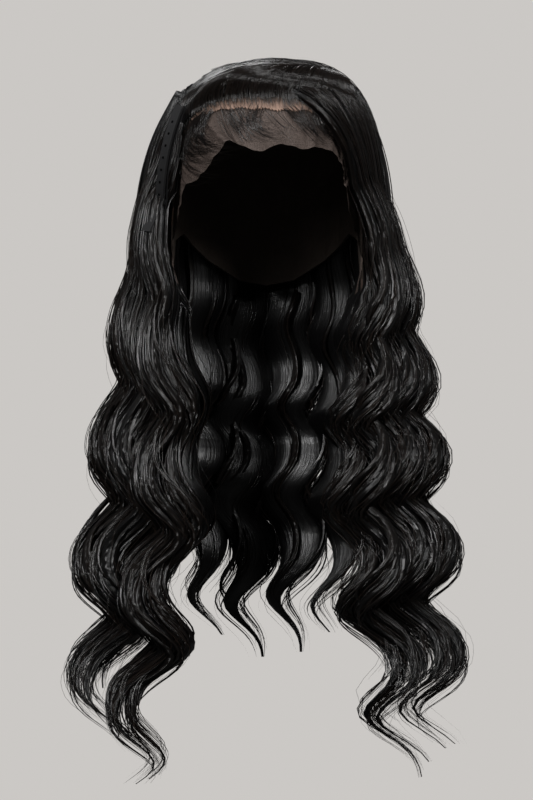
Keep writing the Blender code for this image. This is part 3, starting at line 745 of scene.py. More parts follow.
@dataclass(frozen=True)
class MouldedFinish(Finish):
    """Matt moulded plastic with a fine grain."""

    def make(self) -> bpy.types.Material:
        """Return the plastic's material."""
        made, shader = self.blank()
        nodes = made.node_tree.nodes
        links = made.node_tree.links
        place = nodes.new("ShaderNodeTexCoord")
        grain = nodes.new("ShaderNodeTexNoise")
        grain.inputs["Scale"].default_value = 1800.0
        bump = nodes.new("ShaderNodeBump")
        bump.inputs["Strength"].default_value = 0.12
        bump.inputs["Distance"].default_value = 0.0003
        links.new(place.outputs["Object"], grain.inputs["Vector"])
        links.new(grain.outputs["Fac"], bump.inputs["Height"])
        links.new(bump.outputs["Normal"], shader.inputs["Normal"])
        return made


def store(mesh: bpy.types.Mesh, name: str, kind: str, values: np.ndarray) -> None:
    """Store a value for each point of a mesh.

    Args:
        mesh: The mesh.
        name: The attribute's name.
        kind: FLOAT or FLOAT_VECTOR.
        values: The values.
    """
    layer = mesh.attributes.new(name, kind, "POINT")
    field = "vector" if kind == "FLOAT_VECTOR" else "value"
    layer.data.foreach_set(field, np.ascontiguousarray(values, dtype=np.float32).ravel())


def link(name: str, mesh: bpy.types.Mesh) -> bpy.types.Object:
    """Return a new object that is linked to the scene."""
    made = bpy.data.objects.new(name, mesh)
    bpy.context.scene.collection.objects.link(made)
    return made


def shown(
    made: bpy.types.Object, finish: bpy.types.Material, body: str, nodes: Sequence[str]
) -> bpy.types.Object:
    """Dress a finished piece and enter it in the frame.

    Args:
        made: The piece.
        finish: Its material.
        body: The body that it rides on.
        nodes: The CAD nodes that it replaces.

    Returns:
        The piece.
    """
    made.data.materials.clear()
    made.data.materials.append(finish)
    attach(made, body)
    if nodes:
        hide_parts(*nodes)
    made.data.calc_loop_triangles()
    log.info("%s: %d triangles", made.name, len(made.data.loop_triangles))
    return made


class StrandSweeper:
    """Sweeps gathered lines into strands with a Geometry Nodes tree."""

    def __init__(self, sides: int) -> None:
        """Build the tree.

        Args:
            sides: How many sides a strand has.
        """
        self.tree = bpy.data.node_groups.new("sweep_strands", "GeometryNodeTree")
        face = self.tree.interface
        face.new_socket("Geometry", in_out="INPUT", socket_type="NodeSocketGeometry")
        self.sides = face.new_socket("Sides", in_out="INPUT", socket_type="NodeSocketInt")
        self.swell = face.new_socket("Swell", in_out="INPUT", socket_type="NodeSocketFloat")
        self.finish = face.new_socket("Finish", in_out="INPUT", socket_type="NodeSocketMaterial")
        face.new_socket("Geometry", in_out="OUTPUT", socket_type="NodeSocketGeometry")
        self.side_count = sides
        nodes = self.tree.nodes
        links = self.tree.links
        given = nodes.new("NodeGroupInput")
        result = nodes.new("NodeGroupOutput")
        curve = nodes.new("GeometryNodeMeshToCurve")
        thickness = nodes.new("GeometryNodeInputNamedAttribute")
        thickness.data_type = "FLOAT"
        thickness.inputs["Name"].default_value = "thickness"
        swollen = nodes.new("ShaderNodeMath")
        swollen.operation = "MULTIPLY"
        radius = nodes.new("GeometryNodeSetCurveRadius")
        tangent = nodes.new("GeometryNodeInputTangent")
        flow = nodes.new("GeometryNodeStoreNamedAttribute")
        flow.data_type = "FLOAT_VECTOR"
        flow.domain = "POINT"
        flow.inputs["Name"].default_value = "flow"
        ring = nodes.new("GeometryNodeCurvePrimitiveCircle")
        ring.inputs["Radius"].default_value = 1.0
        sweep = nodes.new("GeometryNodeCurveToMesh")
        sweep.inputs["Fill Caps"].default_value = True
        if "Scale" in sweep.inputs:
            links.new(swollen.outputs[0], sweep.inputs["Scale"])
        shade = nodes.new("GeometryNodeSetShadeSmooth")
        real = nodes.new("GeometryNodeRealizeInstances")
        dress = nodes.new("GeometryNodeSetMaterial")
        links.new(given.outputs["Geometry"], curve.inputs["Mesh"])
        links.new(thickness.outputs["Attribute"], swollen.inputs[0])
        links.new(given.outputs["Swell"], swollen.inputs[1])
        links.new(curve.outputs["Curve"], radius.inputs["Curve"])
        links.new(swollen.outputs[0], radius.inputs["Radius"])
        links.new(radius.outputs["Curve"], flow.inputs["Geometry"])
        links.new(tangent.outputs["Tangent"], flow.inputs["Value"])
        links.new(given.outputs["Sides"], ring.inputs["Resolution"])
        links.new(flow.outputs["Geometry"], sweep.inputs["Curve"])
        links.new(ring.outputs["Curve"], sweep.inputs["Profile Curve"])
        links.new(sweep.outputs["Mesh"], shade.inputs["Geometry"])
        links.new(shade.outputs["Geometry"], real.inputs["Geometry"])
        links.new(real.outputs["Geometry"], dress.inputs["Geometry"])
        links.new(given.outputs["Finish"], dress.inputs["Material"])
        links.new(dress.outputs["Geometry"], result.inputs["Geometry"])

    def sweep(self, name: str, strands: Strands, finish: bpy.types.Material) -> bpy.types.Object:
        """Sweep the strands and keep the result as a plain mesh.

        Args:
            name: The piece's name.
            strands: Its lines.
            finish: Its material.

        Returns:
            The piece.
        """
        counts = np.array([len(line) for line in strands.points])
        starts = np.concatenate(([0], np.cumsum(counts)[:-1]))
        firsts = np.concatenate([np.arange(s, s + n - 1) for s, n in zip(starts, counts)])
        edges = np.stack((firsts, firsts + 1), axis=1)
        lines = bpy.data.meshes.new(f"{name}_lines")
        lines.vertices.add(int(counts.sum()))
        lines.vertices.foreach_set("co", np.concatenate(strands.points).astype(np.float32).ravel())
        lines.edges.add(len(edges))
        lines.edges.foreach_set("vertices", edges.astype(np.int32).ravel())
        store(lines, "thickness", "FLOAT", np.concatenate(strands.radii))
        store(lines, "tone", "FLOAT", np.repeat(np.array(strands.tones), counts))
        lines.update()
        source = link(f"{name}_source", lines)
        step = source.modifiers.new("sweep", "NODES")
        step.node_group = self.tree
        step[self.sides.identifier] = self.side_count
        step[self.swell.identifier] = 1.0
        step[self.finish.identifier] = finish
        bpy.context.view_layer.update()
        graph = bpy.context.evaluated_depsgraph_get()
        mesh = bpy.data.meshes.new_from_object(source.evaluated_get(graph))
        source.modifiers.clear()
        bpy.data.objects.remove(source, do_unlink=True)
        bpy.data.meshes.remove(lines)
        mesh.name = name
        return link(name, mesh)


@dataclass
class BodyForm:
    """A mass's smooth body while it is made, with what its points and corners carry."""

    mesh: bmesh.types.BMesh
    flow: bmesh.types.BMLayerItem
    tone: bmesh.types.BMLayerItem
    place: bmesh.types.BMLayerItem

    @classmethod
    def blank(cls) -> "BodyForm":
        """Return an empty body."""
        mesh = bmesh.new()
        flow = mesh.verts.layers.float_vector.new("flow")
        tone = mesh.verts.layers.float.new("tone")
        return cls(mesh, flow, tone, mesh.loops.layers.uv.new("UVMap"))

    def vert(self, point: Sequence[float], flow: Sequence[float]) -> bmesh.types.BMVert:
        """Add a point.

        Args:
            point: Where it is.
            flow: Which way the hair runs there.

        Returns:
            The point.
        """
        made = self.mesh.verts.new(point)
        made[self.flow] = flow
        made[self.tone] = 0.0
        return made

    def face(self, corners: Sequence[bmesh.types.BMVert], places: Sequence[tuple[float, float]]) -> None:
        """Add a face.

        Args:
            corners: Its points.
            places: Where each lies in the texture.
        """
        for loop, place in zip(self.mesh.faces.new(corners).loops, places):
            loop[self.place].uv = place

    def finish(self, name: str) -> bpy.types.Object:
        """Return the finished body."""
        mesh = bpy.data.meshes.new(name)
        self.mesh.to_mesh(mesh)
        self.mesh.free()
        mesh.shade_smooth()
        return link(name, mesh)


@dataclass
class HairMass:
    """One mass of hair: its smooth body, the strands on it and those that stray from it."""

    name: str
    seed: int
    bands: int
    clumps: int
    per_clump: int
    combed: int
    strays: int
    gather: float = 0.3
    points: int = 64

    def build_body(self) -> bpy.types.Object:
        """Return the mass's body: a grooved closed loft for each lock, and the bed on the cap."""
        form = BodyForm.blank()
        chance = np.random.default_rng(self.seed)
        for row in BUNDLES[self.name]:
            self.loft(form, LockPath.along(row, BODY_RINGS), chance)
        self.bed(form)
        return form.finish(f"{self.name}_body")

    @staticmethod
    def loft(form: BodyForm, path: LockPath, chance: np.random.Generator) -> None:
        """Add a grooved closed lock.

        Args:
            form: The body that is being made.
            path: The lock's path.
            chance: Where the grooves' phases come from.
        """
        around = BODY_AROUND
        middle = path.waved(0.0, 1.0)
        ahead = unit(np.gradient(middle, axis=0))
        phases = chance.uniform(0.0, 2 * pi, 3)
        turns = np.linspace(0.0, 2 * pi, around, endpoint=False)
        rings = []
        for step in range(len(middle)):
            drift = 1.1 * path.share[step]
            groove = 1.0 + 0.055 * np.sin(5 * (turns + drift) + phases[0])
            groove += 0.04 * np.sin(8 * (turns - drift) + phases[1])
            size = BODY_SIZE * groove * (1.0 - BODY_TIP_LOSS * float(ramp(0.80, 1.0, path.share[step])))
            ring = (
                middle[step]
                + np.outer(size * np.cos(turns), path.flat[step])
                + np.outer(size * np.sin(turns), path.up[step])
            )
            ring = HEAD.clear(ring, np.full(around, HAIR_START + 0.0008))
            rings.append([form.vert(point, ahead[step]) for point in ring])
        for step, (ring, following) in enumerate(zip(rings, rings[1:])):
            for turn in range(around):
                after = (turn + 1) % around
                spots = ((turn, step), (turn + 1, step), (turn + 1, step + 1), (turn, step + 1))
                form.face(
                    (ring[turn], ring[after], following[after], following[turn]),
                    [(0.09 * across / around, 0.75 * along / (len(rings) - 1)) for across, along in spots],
                )
        form.mesh.faces.new(list(reversed(rings[0])))
        form.mesh.faces.new(rings[-1])

    def bed(self, form: BodyForm) -> None:
        """Add the hair that lies close on the cap under the combed strands.

        Args:
            form: The body that is being made.
        """
        low, high = BED_SPANS[self.name]
        azimuths = np.linspace(low, high, BED_COLUMNS)
        folded = np.abs((azimuths + 180.0) % 360.0 - 180.0)
        reach = HEAD.rim_drop(folded) - 0.0015 / HEAD.crown
        side = np.arange(BED_COLUMNS)
        feather = ramp(0.0, BED_FEATHER, side) * ramp(0.0, BED_FEATHER, BED_COLUMNS - 1 - side)
        skins = []
        for depth in (0.0, BED_DEPTH - 0.0016):
            grid = []
            for row, share in enumerate(np.linspace(0.04, 1.0, BED_ROWS)):
                thin = feather * ramp(-0.5, 3.0, BED_ROWS - 1 - row)
                proud = HAIR_START + 0.001 + depth * (0.15 + 0.85 * thin)
                spots = HEAD.point(azimuths, reach * share, proud)
                grid.append([form.vert(spot, (spot[0], spot[1], -0.05)) for spot in spots])
            skins.append(grid)
        inner, outer = skins

        def quad(*corners: bmesh.types.BMVert) -> None:
            """Add a face whose texture places are its corners' places from above."""
            form.face(corners, [(corner.co.y, corner.co.x) for corner in corners])

        for row in range(BED_ROWS - 1):
            for column in range(BED_COLUMNS - 1):
                first, below, last, beside = (
                    (row, column), (row + 1, column), (row + 1, column + 1), (row, column + 1)
                )
                quad(*(outer[line][spot] for line, spot in (first, below, last, beside)))
                quad(*(inner[line][spot] for line, spot in (first, beside, last, below)))
        for column in range(BED_COLUMNS - 1):
            quad(outer[0][column], outer[0][column + 1], inner[0][column + 1], inner[0][column])
            quad(outer[-1][column + 1], outer[-1][column], inner[-1][column], inner[-1][column + 1])
        for row in range(BED_ROWS - 1):
            quad(outer[row + 1][0], outer[row][0], inner[row][0], inner[row + 1][0])
            quad(outer[row][-1], outer[row + 1][-1], inner[row + 1][-1], inner[row][-1])

    def fall(self) -> Strands:
        """Return the strands of the locks, gathered in clumps that part towards the tips."""
        strands = Strands.none()
        chance = np.random.default_rng(self.seed + 1)
        for row in BUNDLES[self.name]:
            path = LockPath.along(row)
            for _ in range(self.clumps if self.is_outer(row) else self.clumps // 3):
                self.clump(strands, path, chance)
        return strands

    def is_outer(self, row: LockRow) -> bool:
        """Return whether a lock shows, and doesn't only fill the mass."""
        return row.half < 0.0200 or self.name == "hair_back"

    def ribbons(self) -> bpy.types.Object:
        """Return the flat clumps that lie on the locks and over the cap."""
        made = Ribbons.none()
        chance = np.random.default_rng(self.seed + 5)
        for row in BUNDLES[self.name]:
            path = LockPath.along(row, 161)
            for _ in range(self.bands if self.is_outer(row) else self.bands // 3):
                self.band_on_lock(made, path, chance)
        for path in self.comb_paths(CAP_PATHS):
            for _ in range(RIBBONS_PER_CAP_PATH):
                self.band_on_cap(made, path, chance)
        return made.weave(f"{self.name}_ribbons")

    def gathered(self, share: np.ndarray) -> np.ndarray:
        """Return how far a lock's strands have spread from its middle at shares of its length."""
        return self.gather + (1.0 - self.gather) * ramp(0.0, 0.2, share)

    def spaced(self, start: float, end: float, count: int) -> np.ndarray:
        """Space shares of a lock's length, closer where it waves."""
        marks = np.linspace(0.0, 1.0, count)
        return start + (end - start) * marks * (1.0 + 0.35 * (1.0 - marks))

    def band_on_lock(self, made: Ribbons, path: LockPath, chance: np.random.Generator) -> None:
        """Add a flat clump along a lock.

        Args:
            made: What it is added to.
            path: The lock's path.
            chance: Where its differences come from.
        """
        turn = chance.uniform(-0.4, pi + 0.4)
        if chance.random() < 0.2:
            turn += pi
        reach = chance.uniform(0.80, 1.02)
        drift = chance.normal(0.0, 0.55)
        middle = path.waved(chance.normal(0.0, 0.005), 1.0 + chance.normal(0.0, 0.08))
        share = self.spaced(chance.uniform(0.0, 0.12), chance.uniform(0.84, 1.0), self.points + 2)
        angle = turn + drift * (share - 0.4) + 0.10 * np.sin(share * chance.uniform(8.0, 16.0) + turn)
        flat = self.read(path.flat, share)
        up = self.read(path.up, share)
        cosine, sine = np.cos(angle)[:, None], np.sin(angle)[:, None]
        spread = self.gathered(share)[:, None]
        line = self.read(middle, share) + reach * (flat * cosine * spread + up * sine)
        line = HEAD.clear(line, np.full(len(line), HAIR_START + 0.0015))
        across = unit(up * cosine - flat * sine)
        ahead = unit(np.gradient(line, axis=0))
        normal = unit(np.cross(ahead, across))
        size = np.linalg.norm(flat, axis=1) / path.row.half
        marks = np.linspace(0.0, 1.0, len(line))
        half = chance.uniform(*LOCK_RIBBON_HALVES) * (0.35 + 0.65 * size)
        half = half * (0.25 + 0.75 * ramp(0.0, 0.06, marks)) * (1.0 - 0.93 * ramp(0.72, 1.0, marks))
        made.add(line, across, -normal, half, chance.uniform(0.30, 0.5), chance.uniform(0.0, 0.22),
                 chance.uniform(0.0, 4.0))

    def band_on_cap(self, made: Ribbons, path: LockPath, chance: np.random.Generator) -> None:
        """Add a flat clump that is combed over the cap.

        Args:
            made: What it is added to.
            path: A path over the cap.
            chance: Where its differences come from.
        """
        share = np.linspace(chance.uniform(0.0, 0.02), chance.uniform(0.42, 0.66), CAP_RIBBON_POINTS)
        rise = ramp(-0.01, 0.09, share)
        level = chance.uniform(0.62, 0.98) * (1.0 - 0.5 * ramp(0.25, 0.66, share)) * rise
        aside = chance.normal(0.0, 0.25)
        flat = self.read(path.flat, share)
        up = self.read(path.up, share)
        line = self.read(path.waved(0.0, 1.0), share) + flat * aside + up * level[:, None]
        line = HEAD.clear(line, HAIR_START + 0.0008 + (BED_DEPTH - 0.0019) * rise + 0.0018 * level)
        across = unit(flat)
        ahead = unit(np.gradient(line, axis=0))
        normal = unit(np.cross(ahead, across))
        marks = np.linspace(0.0, 1.0, len(line))
        half = chance.uniform(*CAP_RIBBON_HALVES) * (0.1 + 0.9 * ramp(0.0, 0.2, marks))
        half = half * (1.0 - 0.92 * ramp(0.6, 1.0, marks))
        made.add(line, across, -normal, half, chance.uniform(0.22, 0.36), chance.uniform(0.0, 0.2),
                 chance.uniform(0.0, 4.0))

    def clump(self, strands: Strands, path: LockPath, chance: np.random.Generator) -> None:
        """Add one clump of strands along a lock.

        Args:
            strands: What it is added to.
            path: The lock's path.
            chance: Where its differences come from.
        """
        turn = chance.uniform(-0.25, pi + 0.25)
        if chance.random() < 0.22:
            turn += pi
        reach = chance.uniform(0.72, 1.0)
        drift = chance.normal(0.0, 0.5)
        lag = chance.normal(0.0, 0.006)
        gain = 1.0 + chance.normal(0.0, 0.10)
        middle = path.waved(lag, gain)
        start = chance.uniform(0.0, 0.10)
        end = chance.uniform(0.86, 1.0)
        spread = chance.uniform(0.10, 0.20)
        fray = chance.normal(0.0, 0.25)
        for _ in range(self.per_clump):
            offset = chance.normal(0.0, 1.0, 2) * spread
            last = min(end + chance.normal(0.0, 0.012), 1.0)
            share = self.spaced(start, last, self.points)
            angle = turn + drift * (share - 0.35) + fray * ramp(0.75, 1.0, share)
            tight = 1.0 - 0.30 * ramp(0.55, 0.80, share) + 1.5 * ramp(0.82, 1.0, share)
            across = (reach * np.cos(angle) + offset[0] * tight) * self.gathered(share)
            raised = reach * np.sin(angle) + offset[1] * tight
            base = self.read(middle, share)
            flat = self.read(path.flat, share)
            up = self.read(path.up, share)
            line = base + flat * across[:, None] + up * raised[:, None]
            line = HEAD.clear(line, np.full(len(line), HAIR_START + 0.001))
            tone = chance.uniform(0.0, 0.35)
            strands.add(line, chance.uniform(*FALL_RADII), tone, (0.05, 0.12))

    @staticmethod
    def read(rows: np.ndarray, share: np.ndarray) -> np.ndarray:
        """Read evenly spaced rows at shares of their length.

        Args:
            rows: The rows.
            share: Where to read them, 0 to 1.

        Returns:
            One row for each share.
        """
        place = share * (len(rows) - 1)
        index = np.minimum(place.astype(int), len(rows) - 2)
        part = (place - index)[:, None]
        return rows[index] * (1 - part) + rows[index + 1] * part

    def comb_paths(self, count: int) -> list[LockPath]:
        """Blend the rows of the mass into evenly spread paths over the cap.

        Args:
            count: How many paths.

        Returns:
            The paths from the front of the mass to its back.
        """
        rows = CURTAINS[self.name]
        table = np.array(
            [
                (*row.root, *row.over, row.lift, *row.ear, *row.chest, *row.tip, row.half, row.deep,
                 row.lag, row.gain)
                for row in rows
            ]
        )
        places = np.linspace(0.0, len(rows) - 1, count)
        paths = []
        for values in smooth_rows(table, places):
            row = LockRow(
                rows[0].side, tuple(values[0:2]), tuple(values[2:4]), values[4], tuple(values[5:7]),
                tuple(values[7:9]), tuple(values[9:12]), *values[12:16],
            )
            paths.append(LockPath.along(row))
        return paths

    def curtain(self) -> Strands:
        """Return the strands that are combed over the cap and run on into the locks."""
        strands = Strands.none()
        chance = np.random.default_rng(self.seed + 2)
        paths = self.comb_paths(COMB_PATHS)
        for _ in range(self.combed):
            path = paths[int(chance.integers(0, len(paths)))]
            middle = path.waved(chance.normal(0.0, 0.004), 1.0)
            start = 0.0 if chance.random() < 0.75 else chance.uniform(0.0, 0.15)
            end = chance.uniform(0.38, 0.62)
            share = start + (end - start) * np.linspace(0.0, 1.0, COMBED_POINTS) ** 1.15
            rise = ramp(-0.01, 0.09, share)
            level = chance.uniform(0.72, 1.05) * (1.0 - 0.45 * ramp(0.25, 0.6, share)) * rise
            aside = chance.normal(0.0, 0.42) + chance.normal(0.0, 0.2) * share
            line = (
                self.read(middle, share)
                + self.read(path.flat, share) * (aside * np.ones_like(share))[:, None]
                + self.read(path.up, share) * level[:, None]
            )
            line = HEAD.clear(line, HAIR_START + 0.0009 + (BED_DEPTH - 0.0020) * rise + 0.0020 * level)
            strands.add(line, chance.uniform(*COMBED_RADII), chance.uniform(0.0, 0.3), (0.04, 0.25))
        return strands

    def stray(self) -> Strands:
        """Return fine hairs that leave the mass in small loops and wisps."""
        strands = Strands.none()
        chance = np.random.default_rng(self.seed + 3)
        rows = BUNDLES[self.name]
        for _ in range(self.strays):
            row = rows[int(chance.integers(0, len(rows)))]
            path = LockPath.along(row, 61)
            middle = path.waved(chance.normal(0.0, 0.010), 1.0 + chance.normal(0.0, 0.15))
            start = chance.uniform(0.24, 0.80)
            length = chance.uniform(0.10, 0.32)
            share = np.linspace(start, min(start + length, 1.0), STRAY_POINTS)
            bow = np.sin(np.linspace(0.0, pi, STRAY_POINTS)) ** 1.3
            turn = chance.uniform(-0.5, pi + 0.5)
            away = 0.95 + bow * chance.uniform(0.05, 0.55)
            ripple = 0.12 * np.sin(np.linspace(0.0, chance.uniform(3.0, 9.0), STRAY_POINTS) + turn)
            angle = turn + ripple + chance.normal(0.0, 0.6) * (share - start)
            grown = np.maximum(1.0, 0.55 / path.narrowed(0.70, 1.0, share) ** 0.7)
            line = (
                self.read(middle, share)
                + self.read(path.flat, share) * (away * grown * np.cos(angle))[:, None]
                + self.read(path.up, share) * (away * grown * np.sin(angle))[:, None]
            )
            strands.add(line, chance.uniform(*STRAY_RADII), chance.uniform(0.4, 1.0), (0.1, 0.3))
        return strands

    def build(self, sweeper: StrandSweeper, solid: HairFinish, fibre: bpy.types.Material) -> None:
        """Build and dress the whole mass.

        Args:
            sweeper: What sweeps the strands.
            solid: The body's finish.
            fibre: The strands' material.
        """
        shown(self.build_body(), solid, "wig", NODES[self.name])
        shown(self.ribbons(), solid, "wig", [])
        for part, strands in (("fall", self.fall()), ("combed", self.curtain()), ("strays", self.stray())):
            piece = sweeper.sweep(f"{self.name}_{part}", strands, fibre)
            shown(piece, fibre, "wig", [])


@dataclass
class LaceFront:
    """The sheer lace panel with its crinkled scalloped edge, and the knotted band on it."""

    columns: int = 260
    rows: int = 22
    crinkle: float = 0.0020

    @staticmethod
    def spot(station: np.ndarray, along: np.ndarray, proud: np.ndarray) -> np.ndarray:
        """Place points on the lace.

        Args:
            station: Places along the hairline, counted in rows of the table.
            along: Shares of the way from the rim to the cut edge.
            proud: How far off the head form.

        Returns:
            The points.
        """
        drops = HEAD.drop_at(LACE[:, 2])
        table = np.stack((LACE[:, 0], LACE[:, 1], drops), axis=1)
        rim, edge, edge_drop = smooth_rows(table, station).T
        rim_drop = HEAD.rim_drop(rim)
        start = HEAD.point(rim, rim_drop, 0.0005)
        finish = HEAD.point(edge, edge_drop, 0.0005)
        whole = np.maximum(np.linalg.norm(finish - start, axis=1), 0.002)
        share = 0.0008 / whole
        share = share + (1.0 - share) * along
        return HEAD.point(rim + share * (edge - rim), rim_drop + share * (edge_drop - rim_drop), proud)

    def build_lace(self, finish: bpy.types.Material) -> bpy.types.Object:
        """Return the lace panel."""
        station, along = np.meshgrid(
            np.linspace(0.0, len(LACE) - 1, self.columns), np.linspace(0.0, 1.0, self.rows)
        )
        station, along = station.ravel(), along.ravel()
        ripple = np.sin(station * 5.1 + 1.3 * np.sin(along * 6.0 + station))
        ripple += 0.6 * np.sin(station * 11.3 + 4.0 * along)
        ripple += 0.5 * np.sin(station * 2.3 - 9.0 * along)
        raised = LACE_PROUD + self.crinkle * (0.5 + 0.32 * ripple) * along**1.3
        points = self.spot(station, along, raised)
        order = np.arange(self.rows * self.columns).reshape(self.rows, self.columns)
        quads = np.stack((order[:-1, :-1], order[1:, :-1], order[1:, 1:], order[:-1, 1:]), axis=-1)
        mesh = bpy.data.meshes.new("lace_panel")
        mesh.from_pydata(points.tolist(), [], quads.reshape(-1, 4).tolist())
        mesh.shade_smooth()
        made = shown(link("lace_panel", mesh), finish, "wig", ["lace_front"])
        return made

    def band_spot(self, azimuth: np.ndarray, depth: np.ndarray, proud: float) -> np.ndarray:
        """Place points below the rim, down the lace.

        Args:
            azimuth: Azimuths of the rim.
            depth: Depths below it, in metres.
            proud: How far off the head form.

        Returns:
            The points.
        """
        edge = np.interp(azimuth, LACE[:, 0], LACE[:, 1])
        edge_drop = np.interp(azimuth, LACE[:, 0], HEAD.drop_at(LACE[:, 2]))
        rim_drop = HEAD.rim_drop(azimuth)
        start = HEAD.point(azimuth, rim_drop, proud)
        finish = HEAD.point(edge, edge_drop, proud)
        portion = depth / np.linalg.norm(finish - start, axis=1)
        return HEAD.point(
            azimuth + portion * (edge - azimuth), rim_drop + portion * (edge_drop - rim_drop), proud
        )

    def build_band(self, finish: bpy.types.Material) -> bpy.types.Object:
        """Return the knotted band, a thin closed strip on the lace."""
        steps = 150
        azimuth = np.linspace(BAND[0, 0], BAND[-1, 0], steps)
        ragged = 1.0 + 0.10 * np.sin(azimuth * 2.7) + 0.07 * np.sin(azimuth * 6.1 + 1.0)
        depth = np.interp(azimuth, BAND[:, 0], BAND[:, 1]) * ragged
        lines = []
        outside = BAND_PROUD + BAND_WALL
        for start, proud in ((0.0, BAND_PROUD), (1.0, BAND_PROUD), (1.0, outside), (0.0, outside)):
            lines.append(self.band_spot(azimuth, BAND_START + depth * start, proud))
        points = np.concatenate(lines)
        faces = []
        for row in range(4):
            near = row * steps
            far = (row + 1) % 4 * steps
            for step in range(steps - 1):
                faces.append((near + step, far + step, far + step + 1, near + step + 1))
        faces.append(tuple(row * steps for row in (3, 2, 1, 0)))
        faces.append(tuple(row * steps + steps - 1 for row in range(4)))
        mesh = bpy.data.meshes.new("knotted_band")
        mesh.from_pydata(points.tolist(), [], faces)
        mesh.update()
        form = bmesh.new()
        form.from_mesh(mesh)
        bmesh.ops.recalc_face_normals(form, faces=form.faces)
        form.to_mesh(mesh)
        form.free()
        made = link("knotted_band", mesh)
        return shown(made, finish, "wig", ["hairline_band"])

    def roots(self) -> Strands:
        """Return the hairs that rise from the band and sweep up and back into the roll."""
        strands = Strands.none()
        chance = np.random.default_rng(51)
        for _ in range(ROOT_COUNT):
            azimuth = chance.uniform(-79.0, 63.0)
            depth = float(np.interp(azimuth, BAND[:, 0], BAND[:, 1])) * chance.uniform(0.15, 1.0)
            start = self.band_spot(np.array([azimuth]), np.array([BAND_START + depth]), SHORT_HAIR_PROUD)
            height = chance.uniform(0.9, 1.08) * np.interp(azimuth, *ROOT_HEIGHTS.T)
            sweep = chance.uniform(0.85, 1.15) * np.interp(azimuth, *ROOT_SWEEPS.T)
            azimuths = azimuth + sweep * ROOT_PATH[:, 0]
            rim_drop = float(HEAD.rim_drop(np.array([azimuth]))[0])
            rest = HEAD.point(azimuths, rim_drop * ROOT_PATH[:, 1], height * ROOT_PATH[:, 2])
            stops = np.concatenate((start, rest))
            line = smooth_rows(stops, np.linspace(0.0, len(stops) - 1, ROOT_POINTS))
            strands.add(line, chance.uniform(*ROOT_RADII), chance.uniform(0.0, 0.4), (0.2, 0.3))
        return strands

    def baby_hairs(self) -> Strands:
        """Return the short curled hairs that lie on the lace below the hairline."""
        strands = Strands.none()
        chance = np.random.default_rng(77)
        marks = np.linspace(0.0, 1.0, BABY_POINTS)
        for azimuth, spread, count, bow, lean, length in BABY_HAIRS:
            for _ in range(count):
                root = azimuth + chance.normal(0.0, spread)
                size = chance.uniform(0.55, 1.15)
                turned = root + size * (bow * np.sin(pi * marks) + lean * marks**1.8)
                depth = float(np.interp(root, BAND[:, 0], BAND[:, 1])) * chance.uniform(0.4, 1.0)
                fallen = size * length * np.sin(marks * pi * chance.uniform(0.45, 0.72))
                drop = HEAD.rim_drop(np.full(BABY_POINTS, root)) + (depth + fallen) / HEAD.crown
                line = HEAD.point(turned, drop, BAND_PROUD + 0.0010 + 0.0012 * marks)
                strands.add(line, chance.uniform(*BABY_RADII), chance.uniform(0.0, 0.2), (0.1, 0.5))
        return strands


@dataclass
class Studio:
    """The camera, the pale backdrop and the soft lights."""

    backdrop: tuple[float, float, float] = (0.597, 0.578, 0.558)
    ambient: float = 0.09

    def camera(self) -> None:
        """Place the camera level, straight in front of the wig."""
        data = bpy.data.cameras.new("camera")
        data.sensor_fit = "VERTICAL"
        data.sensor_height = 36.0
        data.lens = 36.0 * CAMERA_DISTANCE / (PICTURE_HEIGHT * METRES_PER_PIXEL)
        made = bpy.data.objects.new("camera", data)
        made.location = (0.0, -CAMERA_DISTANCE, CAMERA_LEVEL)
        made.rotation_euler = (pi / 2, 0.0, 0.0)
        bpy.context.scene.collection.objects.link(made)
        bpy.context.scene.camera = made
        bpy.context.scene.render.resolution_x = PICTURE_WIDTH
        bpy.context.scene.render.resolution_y = PICTURE_HEIGHT

    def lamp(
        self, name: str, spot: tuple[float, float, float], aim: tuple[float, float, float],
        size: tuple[float, float], power: float,
    ) -> None:
        """Hang a soft area light.

        Args:
            name: Its name.
            spot: Where it is.
            aim: What it faces.
            size: Its width and height.
            power: Its power in watts.
        """
        data = bpy.data.lights.new(name, "AREA")
        data.shape = "RECTANGLE"
        data.size, data.size_y = size
        data.energy = power
        made = bpy.data.objects.new(name, data)
        made.location = spot
        made.rotation_euler = (Vector(aim) - Vector(spot)).to_track_quat("-Z", "Y").to_euler()
        bpy.context.scene.collection.objects.link(made)

    def light(self) -> None:
        """Hang the lights."""
        middle = (0.0, 0.0, -0.25)
        self.lamp("key", (-1.1, -1.9, 1.2), middle, (0.55, 0.55), 60.0)
        self.lamp("fill", (1.3, -1.8, 1.1), middle, (0.45, 0.6), 40.0)
        self.lamp("top", (0.1, -0.3, 2.0), middle, (0.9, 0.5), 32.0)
        self.lamp("back", (-0.5, 2.2, 1.3), middle, (0.9, 0.6), 12.0)

    def sky(self) -> None:
        """Set the sky: the backdrop where the camera sees it, and a dim light elsewhere."""
        world = bpy.data.worlds.new("sky")
        world.use_nodes = True
        nodes = world.node_tree.nodes
        links = world.node_tree.links
        glow = nodes["Background"]
        glow.inputs["Color"].default_value = (1.0, 0.99, 0.975, 1.0)
        glow.inputs["Strength"].default_value = self.ambient
        paper = nodes.new("ShaderNodeBackground")
        paper.inputs["Color"].default_value = (*self.backdrop, 1.0)
        rays = nodes.new("ShaderNodeLightPath")
        mix = nodes.new("ShaderNodeMixShader")
        links.new(rays.outputs["Is Camera Ray"], mix.inputs["Fac"])
        links.new(glow.outputs["Background"], mix.inputs[1])
        links.new(paper.outputs["Background"], mix.inputs[2])
        links.new(mix.outputs["Shader"], nodes["World Output"].inputs["Surface"])
        bpy.context.scene.world = world
        bpy.context.scene.view_settings.view_transform = "Standard"


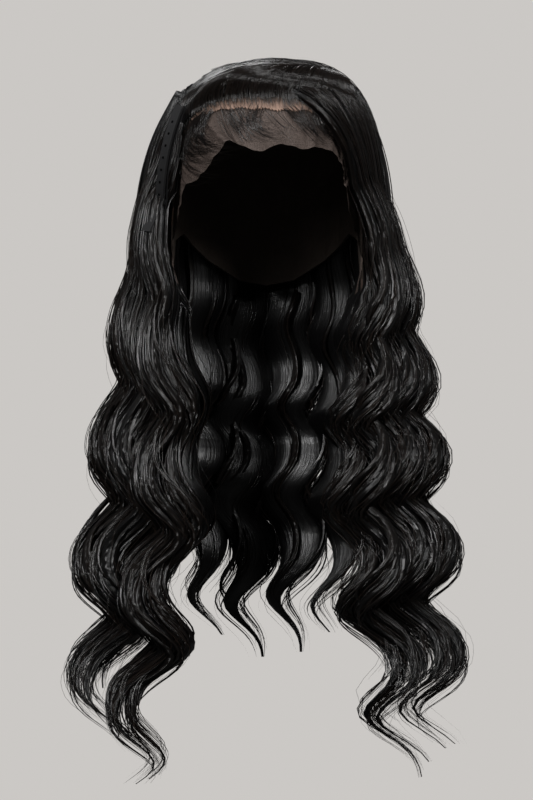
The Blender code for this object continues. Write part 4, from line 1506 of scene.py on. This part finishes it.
class Wig:
    """The whole wig."""

    def __init__(self) -> None:
        """Name its finishes and its parts."""
        self.solid = HairFinish("hair_body", (0.0014, 0.0013, 0.0014), 0.30, 0.36, streaks=0.6).make()
        self.fibre = HairFinish("hair_fibre", (0.0024, 0.0020, 0.0020), 0.27, 0.42).make()
        self.masses = (
            HairMass("hair_right", 11, 34, 12, 4, 300, 230, gather=1.0),
            HairMass("hair_left", 23, 34, 12, 4, 520, 250),
            HairMass("hair_back", 37, 20, 7, 4, 260, 90),
        )

    def dress_nodes(self) -> None:
        """Give the CAD nodes that are kept their materials."""
        net = NetFinish("cap_net", (0.034, 0.026, 0.021), 0.85, 0.2, cells=520.0, relief=0.6).make()
        tab = NetFinish("tab_net", (0.045, 0.030, 0.024), 0.85, 0.2, cells=900.0).make()
        clip = MouldedFinish("clip_plastic", (0.006, 0.006, 0.0065), 0.45, 0.4).make()
        for names, finish in (
            (("cap",), net),
            (("ear_tab_right", "ear_tab_left"), tab),
            (("clip_jaw_outer", "clip_jaw_inner", "clip_pin"), clip),
        ):
            for name in names:
                node = bpy.data.objects[name]
                node.data.materials.clear()
                node.data.materials.append(finish)
                log.info("%s dressed", name)

    def build(self) -> None:
        """Build and dress every piece."""
        sweeper = StrandSweeper(STRAND_SIDES)
        self.dress_nodes()
        lace = LaceFront()
        sheer = NetFinish("lace_net", (0.062, 0.046, 0.039), 0.75, 0.25, cells=900.0, openness=0.5)
        knotted = NetFinish("knot_net", (0.18, 0.118, 0.090), 0.85, 0.2, cells=900.0, blotch=0.6)
        lace.build_lace(sheer.make())
        lace.build_band(knotted.make())
        for name, strands in (("hairline_roots", lace.roots()), ("baby_hairs", lace.baby_hairs())):
            shown(sweeper.sweep(name, strands, self.fibre), self.fibre, "wig", [])
        for mass in self.masses:
            mass.build(sweeper, self.solid, self.fibre)


def main() -> None:
    """Build the scene round the loaded frame."""
    logging.basicConfig(level=logging.INFO, format="%(message)s")
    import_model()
    studio = Studio()
    studio.camera()
    studio.light()
    studio.sky()
    Wig().build()
    log.info("sizes written")


if __name__ == "__main__":
    main()
